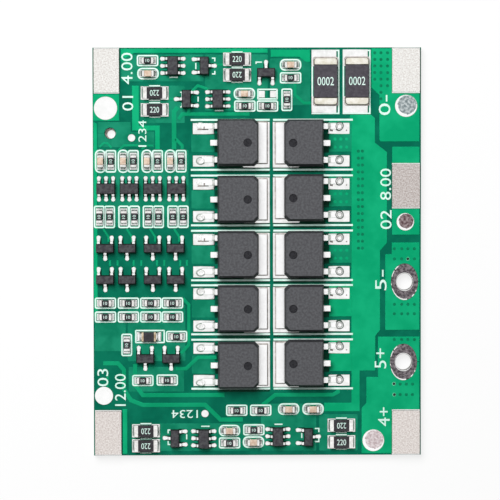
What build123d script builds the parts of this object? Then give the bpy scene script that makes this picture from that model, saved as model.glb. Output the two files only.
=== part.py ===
# Battery management board: a small circuit board with two ranks of power transistors,
# two current-sensing resistors, eight controller packages and their small parts,
# five raised nickel plates for the cell leads and two plated holes for the output leads.
# Millimetres. The origin is the middle of the underside, +Y is the long way of the board
# and +Z points out of the side that carries the parts.
# Places on the board are given as (from the left edge, from the top edge). What keeps its
# distance from the right or the bottom edge is placed from BOARD_W or BOARD_L.

import os
from math import atan2, degrees

from build123d import *

# The bare board
BOARD_W = 45.0
BOARD_L = 56.0
BOARD_T = 1.2
COPPER_T = 0.07
LAND_T = 0.1
EDGE_MARGIN = 0.35

# Nickel plates for the cell leads, soldered flat on tinned lands
PLATE_W = 3.85
PLATE_L = 6.0
PLATE_T = 0.3
PLATE_CORNER_CUT = 0.15
PLATE_LAND_RIM = 0.12
PLATE_INSET = 0.15
MIDDLE_PLATE_Y = 18.95

# Round tinned test lands beside the plates: place, diameter
ROUND_LANDS = [
    ((1.77, 8.26), 3.2),
    ((BOARD_W - 2.05, 8.0), 3.05),
    ((BOARD_W - 2.15, 23.9), 2.4),
    ((1.4, BOARD_L - 8.25), 2.5),
    ((BOARD_W - 6.55, BOARD_L - 2.0), 3.0),
]

# Plated holes for the output leads: the wall is copper with a lining of solder
OUTPUT_SPOTS = {
    "output_hole_minus": (BOARD_W - 2.25, 32.15),
    "output_hole_plus": (BOARD_W - 2.4, BOARD_L - 12.8),
}
OUTPUT_BORE_D = 2.35
OUTPUT_LAND_D = 5.06
OUTPUT_LAND_W = 3.75
BARREL_T = 0.2

# Plain locating hole
LOCATING_HOLE_SPOT = (2.38, 11.7)
LOCATING_HOLE_D = 1.5

# Power transistors: two ranks that mirror each other about one line
RANK_LINE_X = 24.45
ROW_Y = (13.3, 20.9, 28.5, 35.95, 43.45)
PLACED_ABOVE_ROW = {"left": (0.26, 0.12, 0.15, 0.2, -0.05), "right": (0.2, 0.3, 0.14, 0.23, 0.2)}
CASE_L = 5.6
CASE_W = 6.55
CASE_H = 2.3
CASE_DRAFT = 0.22
CASE_BELT_LOW = 0.8
CASE_CORNER_CUT = 0.55
CASE_TO_LINE = 1.75
DIMPLE_D = 1.15
DIMPLE_DEPTH = 0.12
DIMPLE_SIDES = 16
DIMPLE_FROM_TAB_FACE = 1.35
TAB_T = 0.5
TAB_W = 5.55
TAB_REACH = 1.15
SLUG_DEPTH = 4.2
LEAD_T = 0.5
LEAD_W = 0.8
LEAD_PITCH = 2.3
LEAD_REACH = 2.2
LEAD_SHOULDER = 0.35
LEAD_SLOPE = 0.45
LEAD_BEND_R = 0.3
STUB_REACH = 1.0
LEAD_LAND_L = 2.95
LEAD_LAND_W = 1.55
LEAD_LAND_SPREAD = 4.45
LEAD_LAND_FROM_LINE = 7.8
TAB_LAND_W = 6.3
TAB_LAND_L = 4.0
TAB_LAND_FROM_LINE = 0.2
TAB_LAND_FLARE = 0.45

# Six-lead controller packages
SIX_W = 1.5
SIX_L = 2.9
SIX_H = 1.1
SIX_PITCH = 0.97
SIX_LEAD_W = 0.4
SIX_LEAD_REACH = 0.62
SIX_LAND_NEAR = 0.78
SIX_LAND_L = 1.0
SIX_SPOTS = {
    "balance_chip_1": ((1.8, 19.3), 90),
    "balance_chip_2": ((5.0, 19.3), 90),
    "balance_chip_3": ((8.2, 19.3), 90),
    "balance_chip_4": ((11.43, 19.3), 90),
    "protection_chip_top_left": ((11.0, 2.5), 0),
    "protection_chip_top_middle": ((17.15, 7.05), 0),
    "protection_chip_bottom_left": ((15.1, 53.65), 0),
    "protection_chip_bottom_middle": ((25.3, 53.4), 0),
}

# Three-lead transistors: turned so that the side with one lead faces right at 0 degrees
THREE_W = 1.25
THREE_L = 2.75
THREE_H = 1.0
THREE_PITCH = 1.8
THREE_LEAD_W = 0.42
THREE_LEAD_REACH = 0.55
THREE_LAND_NEAR = 0.62
THREE_LAND_L = 1.15
CELL_COLUMNS = (1.65, 4.65, 8.17, 11.3)
CELL_ROWS = (27.45, 31.75)
THREE_SPOTS = [((x, y), -90) for y in CELL_ROWS for x in CELL_COLUMNS] + [
    ((15.3, 2.5), 0),
    ((12.85, 7.03), 180),
    ((23.75, 3.45), 90),
    ((7.1, 42.6), -90),
    ((10.65, 42.6), -90),
    ((11.15, 53.6), 180),
    ((29.5, 53.45), 0),
]
SMALL_LEAD_T = 0.15
SMALL_LEAD_SLOPE = 0.45
SMALL_BELT_LOW = 0.42
SMALL_DRAFT = 0.12
LAND_FLARE = 0.12

# Chip resistors and capacitors: the long way runs along the board's width at 0 degrees
CHIP_COLUMNS = (2.46, 5.55, 8.87, 12.09)
CHIP_ROW_Y = 15.53
CAPACITOR_COLUMNS = (1.03, 4.15, 7.4, 10.6)
PAIR_ROW_Y = 23.15
PAIR_COLUMNS = (0.85, 2.27, 4.2, 5.67, 7.56, 8.97, 10.93, 12.36)
BIAS_ROWS = (35.0, 36.9)
BIAS_COLUMNS = (1.65, 4.8, 7.87, 10.85)
RESISTOR_SPOTS = (
    [((x, CHIP_ROW_Y), 90) for x in CHIP_COLUMNS]
    + [((x, PAIR_ROW_Y), 90) for x in PAIR_COLUMNS]
    + [((x, y), 0) for y in BIAS_ROWS for x in BIAS_COLUMNS]
    + [((7.55, 1.77), 0), ((27.12, 4.15), 0), ((20.85, 8.0), 0), ((23.95, 8.0), 0)]
    + [((26.6, 7.15), 90), ((4.55, 40.75), 90), ((11.4, 39.6), 0), ((6.75, 45.65), 0)]
    + [((10.1, 45.6), 0), ((19.65, 49.8), 0), ((22.95, 49.8), 0)]
    + [((18.65, 54.3), 0), ((22.0, 52.5), 0)]
)
CAPACITOR_SPOTS = [((x, CHIP_ROW_Y), 90) for x in CAPACITOR_COLUMNS] + [
    ((7.6, 3.55), 0),
    ((27.12, 2.38), 0),
    ((20.8, 6.32), 0),
    ((18.65, 52.6), 0),
    ((21.95, 54.2), 0),
    ((26.8, 49.65), 0),
    ((30.15, 49.65), 0),
]
CHIP_L = 1.6
CHIP_W = 0.82
CHIP_END = 0.32
RESISTOR_H = 0.45
CAPACITOR_H = 0.8
CHIP_LAND = (0.85, 0.95)
CHIP_LAND_SPREAD = 1.55
EMPTY_SPOT = (23.95, 6.38)

LARGE_SPOTS = [
    (8.5, 6.2),
    (8.5, 8.5),
    (19.8, 1.6),
    (19.8, 3.75),
    (7.15, 52.6),
    (7.15, 54.65),
    (34.05, 51.9),
    (34.05, 54.2),
]
LARGE_L = 3.2
LARGE_W = 1.6
LARGE_H = 0.55
LARGE_END = 0.55
LARGE_LAND = (1.15, 1.85)
LARGE_LAND_SPREAD = 2.7

INDICATOR_SPOT = (7.6, 39.6)
INDICATOR_L = 2.0
INDICATOR_W = 1.25
INDICATOR_H = 0.6
INDICATOR_END = 0.3
INDICATOR_LAND = (1.1, 1.25)
INDICATOR_LAND_SPREAD = 2.3

# Current-sensing resistors
SENSE_FROM_PLATE = 4.8
SENSE_PITCH = 4.3
SENSE_W = 3.25
SENSE_L = 6.5
SENSE_H = 0.65
SENSE_END = 1.05
SENSE_CORNER_R = 0.3
SENSE_LAND = (3.85, 2.3)
SENSE_RIGHT_X = BOARD_W - PLATE_INSET - PLATE_W - SENSE_FROM_PLATE
SENSE_SPOTS = {
    "sense_resistor_left": (SENSE_RIGHT_X - SENSE_PITCH, 4.65),
    "sense_resistor_right": (SENSE_RIGHT_X, 4.62),
}
SENSE_LAND_SPREAD = 6.4

# Ends of the small parts stand proud of their bodies by this much
END_PROUD = 0.02

# Masked copper of the right side, cut into fields by etched channels
RIGHT_FIELD_LEFT = 31.0
RIGHT_FIELD_TOP = 9.9
RIGHT_FIELD_BOTTOM = BOARD_L - 6.6
CHANNEL_W = 0.55
CHANNEL_COLUMN = BOARD_W - 5.95
CHANNELS = [
    [(CHANNEL_COLUMN, 9.5), (CHANNEL_COLUMN, 12.8), (BOARD_W - 4.25, 14.05), (BOARD_W - 4.25, 26.8),
     (BOARD_W - 5.2, 27.8), (BOARD_W - 5.2, 39.1), (BOARD_W, 39.1)],
    [(BOARD_W - 5.8, 13.2), (BOARD_W, 13.2)],
    [(BOARD_W - 4.2, 26.2), (BOARD_W, 26.2)],
    [(BOARD_W - 5.2, 39.1), (BOARD_W - 6.1, 39.9), (BOARD_W - 6.1, 44.4), (BOARD_W - 7.9, 44.85),
     (BOARD_W - 7.9, 50)],
]

os.makedirs("parts", exist_ok=True)


def spot_location(spot, turn=0, z=BOARD_T):
    x, y = spot
    return Pos(x - BOARD_W / 2, BOARD_L / 2 - y, z) * Rot(0, 0, turn)


def seat(shape, spot, turn=0, z=BOARD_T):
    return shape.moved(spot_location(spot, turn, z))


def save(name, *solids):
    shape = solids[0] if len(solids) == 1 else Compound(list(solids))
    shape.label = name
    export_step(shape, f"parts/{name}.step")


def slab(length, width, height):
    return Box(length, width, height, align=(Align.CENTER, Align.CENTER, Align.MIN))


def solid(shape):
    return shape.solids()[0]


def clipped_circle(diameter, width):
    return Circle(diameter / 2) & Rectangle(width, diameter)


def trapezoid_land(near, length, near_width, flare):
    """A land that starts at near from the part's middle and widens away from it."""
    half = near_width / 2
    corners = [
        (near, -half),
        (near + length, -half - flare),
        (near + length, half + flare),
        (near, half),
    ]
    return make_face(Polyline(*corners, close=True))


# Footprints: the flat shapes of the tinned lands under each kind of part

def chip_lands(land, spread):
    return [Pos(side * spread / 2, 0) * Rectangle(*land) for side in (-1, 1)]


def six_lands():
    land = trapezoid_land(SIX_LAND_NEAR, SIX_LAND_L, SIX_LEAD_W, LAND_FLARE)
    rows = (-SIX_PITCH, 0, SIX_PITCH)
    return [Rot(0, 0, turn) * Pos(0, row) * land for turn in (0, 180) for row in rows]


def three_lands():
    land = trapezoid_land(THREE_LAND_NEAR, THREE_LAND_L, THREE_LEAD_W, LAND_FLARE)
    pair = [Rot(0, 0, 180) * Pos(0, row) * land for row in (-THREE_PITCH / 2, THREE_PITCH / 2)]
    return pair + [land]


def transistor_lands():
    """Lands in the frame of one rank: +X points at the line between the ranks."""
    lead_x = -(LEAD_LAND_FROM_LINE + LEAD_LAND_L / 2)
    lead_land = Rectangle(LEAD_LAND_L, LEAD_LAND_W)
    lands = [Pos(lead_x, side * LEAD_LAND_SPREAD / 2) * lead_land for side in (-1, 1)]
    left = -(TAB_LAND_FROM_LINE + TAB_LAND_L)
    right = -TAB_LAND_FROM_LINE
    top = TAB_LAND_W / 2
    return lands + [
        make_face(
            Polyline((left, -top + TAB_LAND_FLARE), (left + TAB_LAND_FLARE, -top), (right, -top),
                     (right, top), (left, top), close=True)
        )
    ]


# Parts

def moulded_case(length, width, height, belt_low, belt_height, draft, corner_cut=0.0):
    """A moulded body: it tapers up and down from a straight belt where the leads come out."""

    def outline(inset, z):
        half_l = length / 2 - inset
        half_w = width / 2 - inset
        points = [(-half_l, -half_w), (-half_l, half_w)]
        if corner_cut:
            points += [(half_l - corner_cut, half_w), (half_l, half_w - corner_cut)]
            points += [(half_l, corner_cut - half_w), (half_l - corner_cut, -half_w)]
        else:
            points += [(half_l, half_w), (half_l, -half_w)]
        return Pos(0, 0, z) * make_face(Polyline(*points, close=True))

    belt_top = belt_low + belt_height
    body = loft([outline(draft * belt_low / height, 0), outline(0, belt_low)])
    body += extrude(outline(0, belt_low), belt_height)
    body += loft([outline(0, belt_top), outline(draft, height)])
    return body


def gull_wing(start_x, top_z, thickness, width, reach, shoulder, slope, bend_r):
    """A lead that leaves the body level, comes down and lies flat on its land."""
    end_x = start_x - reach
    knee_x = start_x - shoulder
    foot_x = knee_x - slope
    low_z = top_z - thickness
    points = [
        (start_x, top_z),
        (start_x, low_z),
        (knee_x + thickness * 0.35, low_z),
        (foot_x + thickness * 0.65, 0),
        (end_x, 0),
        (end_x, thickness),
        (foot_x, thickness),
        (knee_x, top_z),
    ]
    outline = FilletPolyline(*points, radius=[0, 0, 0, 0, 0, 0, bend_r, bend_r], close=True)
    return lead_from_profile(outline, width)


def lead_from_profile(outline, width):
    return Pos(0, width / 2, 0) * extrude(Plane.XZ * make_face(outline), width)


def small_lead(start_x, reach, width):
    """A short lead that slopes down from the belt of a small case to a flat foot."""
    top_z = SMALL_BELT_LOW + SMALL_LEAD_T
    knee_x = start_x - reach * SMALL_LEAD_SLOPE
    points = [
        (start_x, top_z),
        (start_x, SMALL_BELT_LOW),
        (knee_x + SMALL_LEAD_T / 2, 0),
        (start_x - reach, 0),
        (start_x - reach, SMALL_LEAD_T),
        (knee_x, SMALL_LEAD_T),
    ]
    return lead_from_profile(Polyline(*points, close=True), width)


def power_transistor():
    """Case and metal of one power transistor, lead side at -X, tab at +X."""
    belt_top = CASE_BELT_LOW + LEAD_T
    case = moulded_case(CASE_L, CASE_W, CASE_H, CASE_BELT_LOW, LEAD_T, CASE_DRAFT, CASE_CORNER_CUT)
    dimple = Pos(CASE_L / 2 - DIMPLE_FROM_TAB_FACE, 0, CASE_H - DIMPLE_DEPTH)
    case -= dimple * extrude(RegularPolygon(DIMPLE_D / 2, DIMPLE_SIDES), DIMPLE_DEPTH)
    tab_end = CASE_L / 2 + TAB_REACH
    tab = Pos(tab_end - (TAB_REACH + SLUG_DEPTH) / 2, 0, 0)
    tab *= slab(TAB_REACH + SLUG_DEPTH, TAB_W, TAB_T)
    wing = gull_wing(-CASE_L / 2, belt_top, LEAD_T, LEAD_W, LEAD_REACH, LEAD_SHOULDER, LEAD_SLOPE, LEAD_BEND_R)
    stub = Pos(-CASE_L / 2 - STUB_REACH / 2, 0, CASE_BELT_LOW) * slab(STUB_REACH, LEAD_W, LEAD_T)
    leads = [Pos(0, side * LEAD_PITCH, 0) * wing for side in (-1, 1)]
    return solid(case - tab), [solid(tab), solid(stub)] + [solid(lead) for lead in leads]


def six_lead_part():
    """Case and six leads of a controller package, leads on the -X and +X sides."""
    case = moulded_case(SIX_W, SIX_L, SIX_H, SMALL_BELT_LOW, SMALL_LEAD_T, SMALL_DRAFT)
    lead = small_lead(-SIX_W / 2, SIX_LEAD_REACH, SIX_LEAD_W)
    rows = (-SIX_PITCH, 0, SIX_PITCH)
    return solid(case), [solid(Rot(0, 0, turn) * Pos(0, row, 0) * lead) for turn in (0, 180) for row in rows]


def three_lead_part():
    """Case and three leads of a small transistor, two leads at -X and one at +X."""
    case = moulded_case(THREE_W, THREE_L, THREE_H, SMALL_BELT_LOW, SMALL_LEAD_T, SMALL_DRAFT)
    lead = small_lead(-THREE_W / 2, THREE_LEAD_REACH, THREE_LEAD_W)
    pair = [solid(Pos(0, row, 0) * lead) for row in (-THREE_PITCH / 2, THREE_PITCH / 2)]
    return solid(case), pair + [solid(Rot(0, 0, 180) * lead)]


def chip_part(length, width, height, end):
    """Body and two wrapped ends of a chip part, long way along X."""
    body = Pos(0, 0, END_PROUD) * slab(length - 2 * end, width, height)
    cap = slab(end, width + 2 * END_PROUD, height + 2 * END_PROUD)
    ends = [Pos(side * (length - end) / 2, 0, 0) * cap for side in (-1, 1)]
    return solid(body), [solid(cap) for cap in ends]


def sense_resistor():
    """Body and two rounded ends of a current-sensing resistor, long way along Y."""
    whole = extrude(RectangleRounded(SENSE_W, SENSE_L, SENSE_CORNER_R), SENSE_H)
    body = Pos(0, 0, END_PROUD) * slab(SENSE_W - 2 * END_PROUD, SENSE_L - 2 * SENSE_END, SENSE_H - 2 * END_PROUD)
    window = slab(SENSE_W, SENSE_L - 2 * SENSE_END, SENSE_H)
    return solid(body), list((whole - window).solids())


def output_eyelet():
    """Plated wall of an output hole with a land on each side of the board."""
    land = clipped_circle(OUTPUT_LAND_D, OUTPUT_LAND_W)
    eyelet = extrude(land, LAND_T) + Pos(0, 0, BOARD_T) * extrude(land, LAND_T)
    eyelet += extrude(Circle(OUTPUT_BORE_D / 2 + BARREL_T), BOARD_T)
    return solid(eyelet - extrude(Circle(OUTPUT_BORE_D / 2), BOARD_T + LAND_T))


def plate_spots():
    """Middle of each nickel plate: four stand in the corners, one at the right edge."""
    near_x = PLATE_INSET + PLATE_W / 2
    near_y = PLATE_INSET + PLATE_L / 2
    far_x = BOARD_W - near_x
    far_y = BOARD_L - near_y
    return {
        "cell_plate_top_left": (near_x, near_y),
        "cell_plate_top_right": (far_x, near_y),
        "cell_plate_right": (far_x, MIDDLE_PLATE_Y),
        "cell_plate_bottom_left": (near_x, far_y),
        "cell_plate_bottom_right": (far_x, far_y),
    }


def bare_board():
    board = slab(BOARD_W, BOARD_L, BOARD_T)
    recess = extrude(clipped_circle(OUTPUT_LAND_D, OUTPUT_LAND_W), LAND_T)
    drill = extrude(Circle(OUTPUT_BORE_D / 2 + BARREL_T), BOARD_T)
    for spot in OUTPUT_SPOTS.values():
        board -= seat(recess, spot, z=0) + seat(drill, spot, z=0)
    board -= seat(extrude(Circle(LOCATING_HOLE_D / 2), BOARD_T), LOCATING_HOLE_SPOT, z=0)
    return solid(board)


def all_lands():
    """Every tinned land of the small parts and transistors, in its place on the board."""
    lands = []
    footprints = [(spot, turn, six_lands()) for spot, turn in SIX_SPOTS.values()]
    footprints += [(spot, turn, three_lands()) for spot, turn in THREE_SPOTS]
    chips = RESISTOR_SPOTS + CAPACITOR_SPOTS + [(EMPTY_SPOT, 0)]
    footprints += [(spot, turn, chip_lands(CHIP_LAND, CHIP_LAND_SPREAD)) for spot, turn in chips]
    footprints += [(spot, 0, chip_lands(LARGE_LAND, LARGE_LAND_SPREAD)) for spot in LARGE_SPOTS]
    footprints += [(INDICATOR_SPOT, 0, chip_lands(INDICATOR_LAND, INDICATOR_LAND_SPREAD))]
    for spot, turn, faces in footprints:
        lands += [seat(face, spot, turn, 0) for face in faces]
    return lands


def sense_lands():
    land = Rectangle(*SENSE_LAND)
    return [
        seat(Pos(0, side * SENSE_LAND_SPREAD / 2) * land, spot, 0, 0)
        for spot in SENSE_SPOTS.values()
        for side in (-1, 1)
    ]


def power_lands():
    lands = []
    for y in ROW_Y:
        lands += [seat(face, (RANK_LINE_X, y), 0, 0) for face in transistor_lands()]
        lands += [seat(mirror(face, Plane.YZ), (RANK_LINE_X, y), 0, 0) for face in transistor_lands()]
    return lands


def channel_run(start, end):
    """One straight stretch of an etched channel, long enough to meet the next at a bend."""
    run = Vector(*end) - Vector(*start)
    middle = Vector(*start) + run / 2
    turn = degrees(atan2(run.Y, run.X))
    return Pos(middle) * Rot(0, 0, turn) * Rectangle(run.length + CHANNEL_W / 2, CHANNEL_W)


def copper_fields(lands):
    """Masked copper on the right of the board, between the etched channels."""
    width = BOARD_W - EDGE_MARGIN - RIGHT_FIELD_LEFT
    height = RIGHT_FIELD_BOTTOM - RIGHT_FIELD_TOP
    middle = (RIGHT_FIELD_LEFT + width / 2, RIGHT_FIELD_TOP + height / 2)
    field = seat(Rectangle(width, height), middle, 0, 0)
    for path in CHANNELS:
        corners = [(x - BOARD_W / 2, BOARD_L / 2 - y) for x, y in path]
        for start, end in zip(corners, corners[1:]):
            field -= channel_run(start, end)
    for land in lands:
        field -= land
    return [solid(extrude(face, COPPER_T)) for face in field.faces()]


def raised(faces, height):
    """Flat shapes given their thickness and laid on the board's face."""
    return [Pos(0, 0, BOARD_T) * solid(extrude(face, height)) for face in faces]


def nickel_plate():
    """A cell lead plate, cut from strip with its corners just taken off."""
    outline = Rectangle(PLATE_W, PLATE_L)
    return solid(extrude(chamfer(outline.vertices(), PLATE_CORNER_CUT), PLATE_T))


# The board and what is laid on it

save("circuit_board", bare_board())

plate_lands = [
    seat(Rectangle(PLATE_W, PLATE_L + 2 * PLATE_LAND_RIM), spot, 0, 0) for spot in plate_spots().values()
]
output_lands = [
    seat(clipped_circle(OUTPUT_LAND_D, OUTPUT_LAND_W), spot, 0, 0) for spot in OUTPUT_SPOTS.values()
]
round_faces = [seat(Circle(diameter / 2), spot, 0, 0) for spot, diameter in ROUND_LANDS]
part_lands = all_lands() + sense_lands() + power_lands()
save("small_part_lands", *raised(all_lands(), LAND_T))
save("power_lands", *raised(sense_lands() + power_lands(), LAND_T))
save("cell_plate_lands", *raised(plate_lands, LAND_T))
save("masked_copper", *[
    Pos(0, 0, BOARD_T) * field
    for field in copper_fields(part_lands + plate_lands + output_lands + round_faces)
])
save("round_test_lands", *raised(round_faces, LAND_T))

seat_z = BOARD_T + LAND_T
for name, spot in OUTPUT_SPOTS.items():
    save(name, seat(output_eyelet(), spot, z=0))
for name, spot in plate_spots().items():
    save(name, seat(nickel_plate(), spot, z=seat_z))

# The power transistors, left rank then right rank, from the top row down

case, metal = power_transistor()
from_line = CASE_TO_LINE + CASE_L / 2
for rank, side, turn in (("left", -1, 0), ("right", 1, 180)):
    for number, (y, above) in enumerate(zip(ROW_Y, PLACED_ABOVE_ROW[rank]), start=1):
        spot = (RANK_LINE_X + side * from_line, y - above)
        save(f"power_case_{rank}_{number}", seat(case, spot, turn, seat_z))
        save(f"power_metal_{rank}_{number}", *[seat(piece, spot, turn, seat_z) for piece in metal])

# The large current-sensing resistors

body, ends = sense_resistor()
for name, spot in SENSE_SPOTS.items():
    save(name, seat(body, spot, 0, seat_z + END_PROUD))
    save(f"{name}_ends", *[seat(end, spot, 0, seat_z) for end in ends])

# The small parts

case, leads = six_lead_part()
for name, (spot, turn) in SIX_SPOTS.items():
    save(name, seat(case, spot, turn, seat_z))
save("chip_leads", *[
    seat(lead, spot, turn, seat_z) for spot, turn in SIX_SPOTS.values() for lead in leads
])

case, leads = three_lead_part()
save("small_transistors", *[seat(case, spot, turn, seat_z) for spot, turn in THREE_SPOTS])
save("small_transistor_leads", *[
    seat(lead, spot, turn, seat_z) for spot, turn in THREE_SPOTS for lead in leads
])

chip_kinds = {
    "chip_resistors": (RESISTOR_SPOTS, chip_part(CHIP_L, CHIP_W, RESISTOR_H, CHIP_END)),
    "chip_capacitors": (CAPACITOR_SPOTS, chip_part(CHIP_L, CHIP_W, CAPACITOR_H, CHIP_END)),
    "bleed_resistors": ([(spot, 0) for spot in LARGE_SPOTS], chip_part(LARGE_L, LARGE_W, LARGE_H, LARGE_END)),
    "indicator_chip": (
        [(INDICATOR_SPOT, 0)], chip_part(INDICATOR_L, INDICATOR_W, INDICATOR_H, INDICATOR_END)
    ),
}
for name, (spots, (body, ends)) in chip_kinds.items():
    save(name, *[seat(body, spot, turn, seat_z) for spot, turn in spots])
    save(f"{name}_ends", *[seat(end, spot, turn, seat_z) for spot, turn in spots for end in ends])
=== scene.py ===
from math import cos, degrees, pi, radians, sin

import bmesh
import bpy
from mathutils import Matrix, Vector


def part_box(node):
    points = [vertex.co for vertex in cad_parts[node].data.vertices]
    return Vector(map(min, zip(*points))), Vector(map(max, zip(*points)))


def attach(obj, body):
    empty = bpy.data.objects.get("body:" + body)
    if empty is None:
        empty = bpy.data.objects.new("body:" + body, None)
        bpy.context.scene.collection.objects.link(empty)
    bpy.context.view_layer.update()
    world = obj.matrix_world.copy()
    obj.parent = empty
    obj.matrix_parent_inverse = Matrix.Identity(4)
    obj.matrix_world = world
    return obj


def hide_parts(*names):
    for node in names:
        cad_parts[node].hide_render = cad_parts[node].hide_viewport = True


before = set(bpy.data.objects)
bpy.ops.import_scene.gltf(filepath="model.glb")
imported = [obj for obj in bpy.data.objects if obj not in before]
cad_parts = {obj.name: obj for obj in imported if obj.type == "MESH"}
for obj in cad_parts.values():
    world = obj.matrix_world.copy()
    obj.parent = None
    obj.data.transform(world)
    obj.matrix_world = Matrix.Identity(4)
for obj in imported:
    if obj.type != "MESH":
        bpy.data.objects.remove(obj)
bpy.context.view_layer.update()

# Places on the board are (from the left edge, from the top edge) in millimetres, seen with the
# parts upwards. Heights are in metres from the underside of the board.
MM = 0.001
(LEFT, _, UNDERSIDE), (_, TOP, FACE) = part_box("circuit_board")
LAND_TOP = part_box("small_part_lands")[1][2]
COPPER_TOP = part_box("masked_copper")[1][2] - 0.01 * MM
TRACK_TOP = COPPER_TOP - 0.015 * MM
INK_TOP = COPPER_TOP + 0.02 * MM
FAR_COPPER_TOP = FACE + 0.012 * MM
SHADE_STRIP_TOP = FACE + 0.013 * MM
SHADE_RIM_TOP = FACE + 0.014 * MM
BACK_COPPER_T = 0.05 * MM


# Colours and nodes

def linear(hex_colour):
    """An sRGB hex colour as the linear values that a shader takes."""
    channels = [int(hex_colour[i:i + 2], 16) / 255 for i in (0, 2, 4)]
    return [c / 12.92 if c <= 0.04045 else ((c + 0.055) / 1.055) ** 2.4 for c in channels] + [1.0]


def node(tree, kind, settings=(), links=()):
    """Adds a node, with its settings and inputs set and its inputs linked to other nodes' outputs."""
    made = tree.nodes.new(kind)
    for key, value in dict(settings).items():
        if isinstance(key, int):
            made.inputs[key].default_value = value
        else:
            setattr(made, key, value)
    for key, output in dict(links).items():
        tree.links.new(output, made.inputs[key])
    return made


def finish_of(name, tones, patch_mm, grain_mm, rough, bump_mm, metallic=0.0, ior=1.5, shine=0.5,
              patch_range=(0.38, 0.62), steep=None):
    """A surface with two tones in patches, and a finer grain that sets its roughness and relief.

    A third tone, painted shade, can lie on the steep faces, and shine is the level of the clear reflection.
    The real grains are finer than a tenth of a millimetre and would not show, so they are drawn coarser."""
    made = bpy.data.materials.new(name)
    made.use_nodes = True
    tree = made.node_tree
    shader = tree.nodes["Principled BSDF"]
    shader.inputs["Metallic"].default_value = metallic
    if not metallic:
        shader.inputs["IOR"].default_value = ior
        shader.inputs["Specular IOR Level"].default_value = shine
    place = node(tree, "ShaderNodeTexCoord")
    where = place.outputs["Object"]
    patches = node(tree, "ShaderNodeTexNoise", {2: 1 / (patch_mm * MM), 3: 3.0}, {0: where})
    share = node(tree, "ShaderNodeMapRange", {1: patch_range[0], 2: patch_range[1]}, {0: patches.outputs[0]})
    mix = node(tree, "ShaderNodeMix", {"data_type": "RGBA", 6: linear(tones[0]), 7: linear(tones[1])},
               {0: share.outputs[0]})
    # The steep tone is painted shade, blended in as a face tips from level to steep
    if steep:
        facing = node(tree, "ShaderNodeSeparateXYZ", (), {0: place.outputs["Normal"]})
        clear_of_painted_shade = node(tree, "ShaderNodeMapRange", {1: 0.5, 2: 0.93}, {0: facing.outputs["Z"]})
        mix = node(tree, "ShaderNodeMix", {"data_type": "RGBA", 6: linear(steep)},
                   {0: clear_of_painted_shade.outputs[0], 7: mix.outputs[2]})
    tree.links.new(mix.outputs[2], shader.inputs["Base Color"])
    grain = node(tree, "ShaderNodeTexNoise", {2: 1 / (grain_mm * MM), 3: 2.0}, {0: where})
    dull = node(tree, "ShaderNodeMapRange", {1: 0.3, 2: 0.7, 3: rough[0], 4: rough[1]}, {0: grain.outputs[0]})
    tree.links.new(dull.outputs[0], shader.inputs["Roughness"])
    relief = node(tree, "ShaderNodeBump", {0: 0.6, 1: bump_mm * MM}, {"Height": grain.outputs[0]})
    tree.links.new(relief.outputs[0], shader.inputs["Normal"])
    return made


# Solder mask and laminate

def green_masked_laminate():
    """Glass-fibre laminate under green solder mask, screened on as a liquid and baked: smooth, satin and
    faintly cloudy. The sides are routed, so they are bare and show the plies of the glass cloth."""
    made = finish_of("green_masked_laminate", ("05604A", "0A6F55"), patch_mm=2.5, grain_mm=0.5,
                     rough=(0.4, 0.5), bump_mm=0.012, shine=0.07)
    tree = made.node_tree
    base = tree.nodes["Principled BSDF"].inputs["Base Color"]
    mask = base.links[0].from_socket
    place = node(tree, "ShaderNodeTexCoord")
    plies = node(tree, "ShaderNodeTexWave", {"bands_direction": "Z", 1: 1 / (PLY_BANDS_MM * MM), 2: 1.5},
                 {0: place.outputs["Object"]})
    cut_edge = node(tree, "ShaderNodeMix", {"data_type": "RGBA", 6: linear("6E8F62"), 7: linear("B9BE8E")},
                    {0: plies.outputs["Fac"]})
    facing = node(tree, "ShaderNodeSeparateXYZ", (), {0: place.outputs["Normal"]})
    level = node(tree, "ShaderNodeMath", {"operation": "ABSOLUTE"}, {0: facing.outputs["Z"]})
    flat = node(tree, "ShaderNodeMath", {"operation": "GREATER_THAN", 1: 0.5}, {0: level.outputs[0]})
    whole = node(tree, "ShaderNodeMix", {"data_type": "RGBA"},
                 {0: flat.outputs[0], 6: cut_edge.outputs[2], 7: mask})
    tree.links.new(whole.outputs[2], base)
    return made


# The bands repeat some three times in this height, twice as coarse as the real plies
PLY_BANDS_MM = 1.2
LAMINATE = green_masked_laminate()

# The same mask over copper: the bright metal under it makes it a lighter, yellower green.
MASK_OVER_COPPER = finish_of("mask_over_copper", ("0A9C6A", "14A975"), patch_mm=2.8, grain_mm=0.5,
                             rough=(0.36, 0.48), bump_mm=0.012, shine=0.07)

# Over narrow tracks the mask lies thicker: a deeper green. The small fields between the lead lands of
# the three upper right transistors are a deeper green too.
MASK_OVER_TRACKS, MASK_BY_LEADS = [
    finish_of(name, tones, patch_mm=2.4, grain_mm=0.5, rough=(0.36, 0.48), bump_mm=0.012, shine=0.07)
    for name, tones in (("mask_over_tracks", ("0B8F62", "13996C")), ("mask_by_leads", ("108660", "16906A")))
]

# Copper on the far side shows through the laminate as a middle green.
MASK_MIDDLE = finish_of("mask_over_far_copper", ("0E7658", "1C8868"), patch_mm=2.2, grain_mm=0.5,
                        rough=(0.38, 0.5), bump_mm=0.012, shine=0.07)

# With no copper on either side nothing throws the light back and the mask is darker; painted shade from the
# cases and leads makes it near black.
MASK_PAINTED_SHADE = finish_of("mask_darkened_by_painted_shade", ("033626", "064532"), patch_mm=1.6, grain_mm=0.5,
                         rough=(0.4, 0.5), bump_mm=0.012, shine=0.1)

# Mask sunk into a filled hole is thick, so it looks a little darker.
MASK_IN_HOLES = finish_of("mask_in_filled_holes", ("056C49", "087C57"), patch_mm=0.4, grain_mm=0.2,
                          rough=(0.36, 0.5), bump_mm=0.01, shine=0.15)

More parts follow.
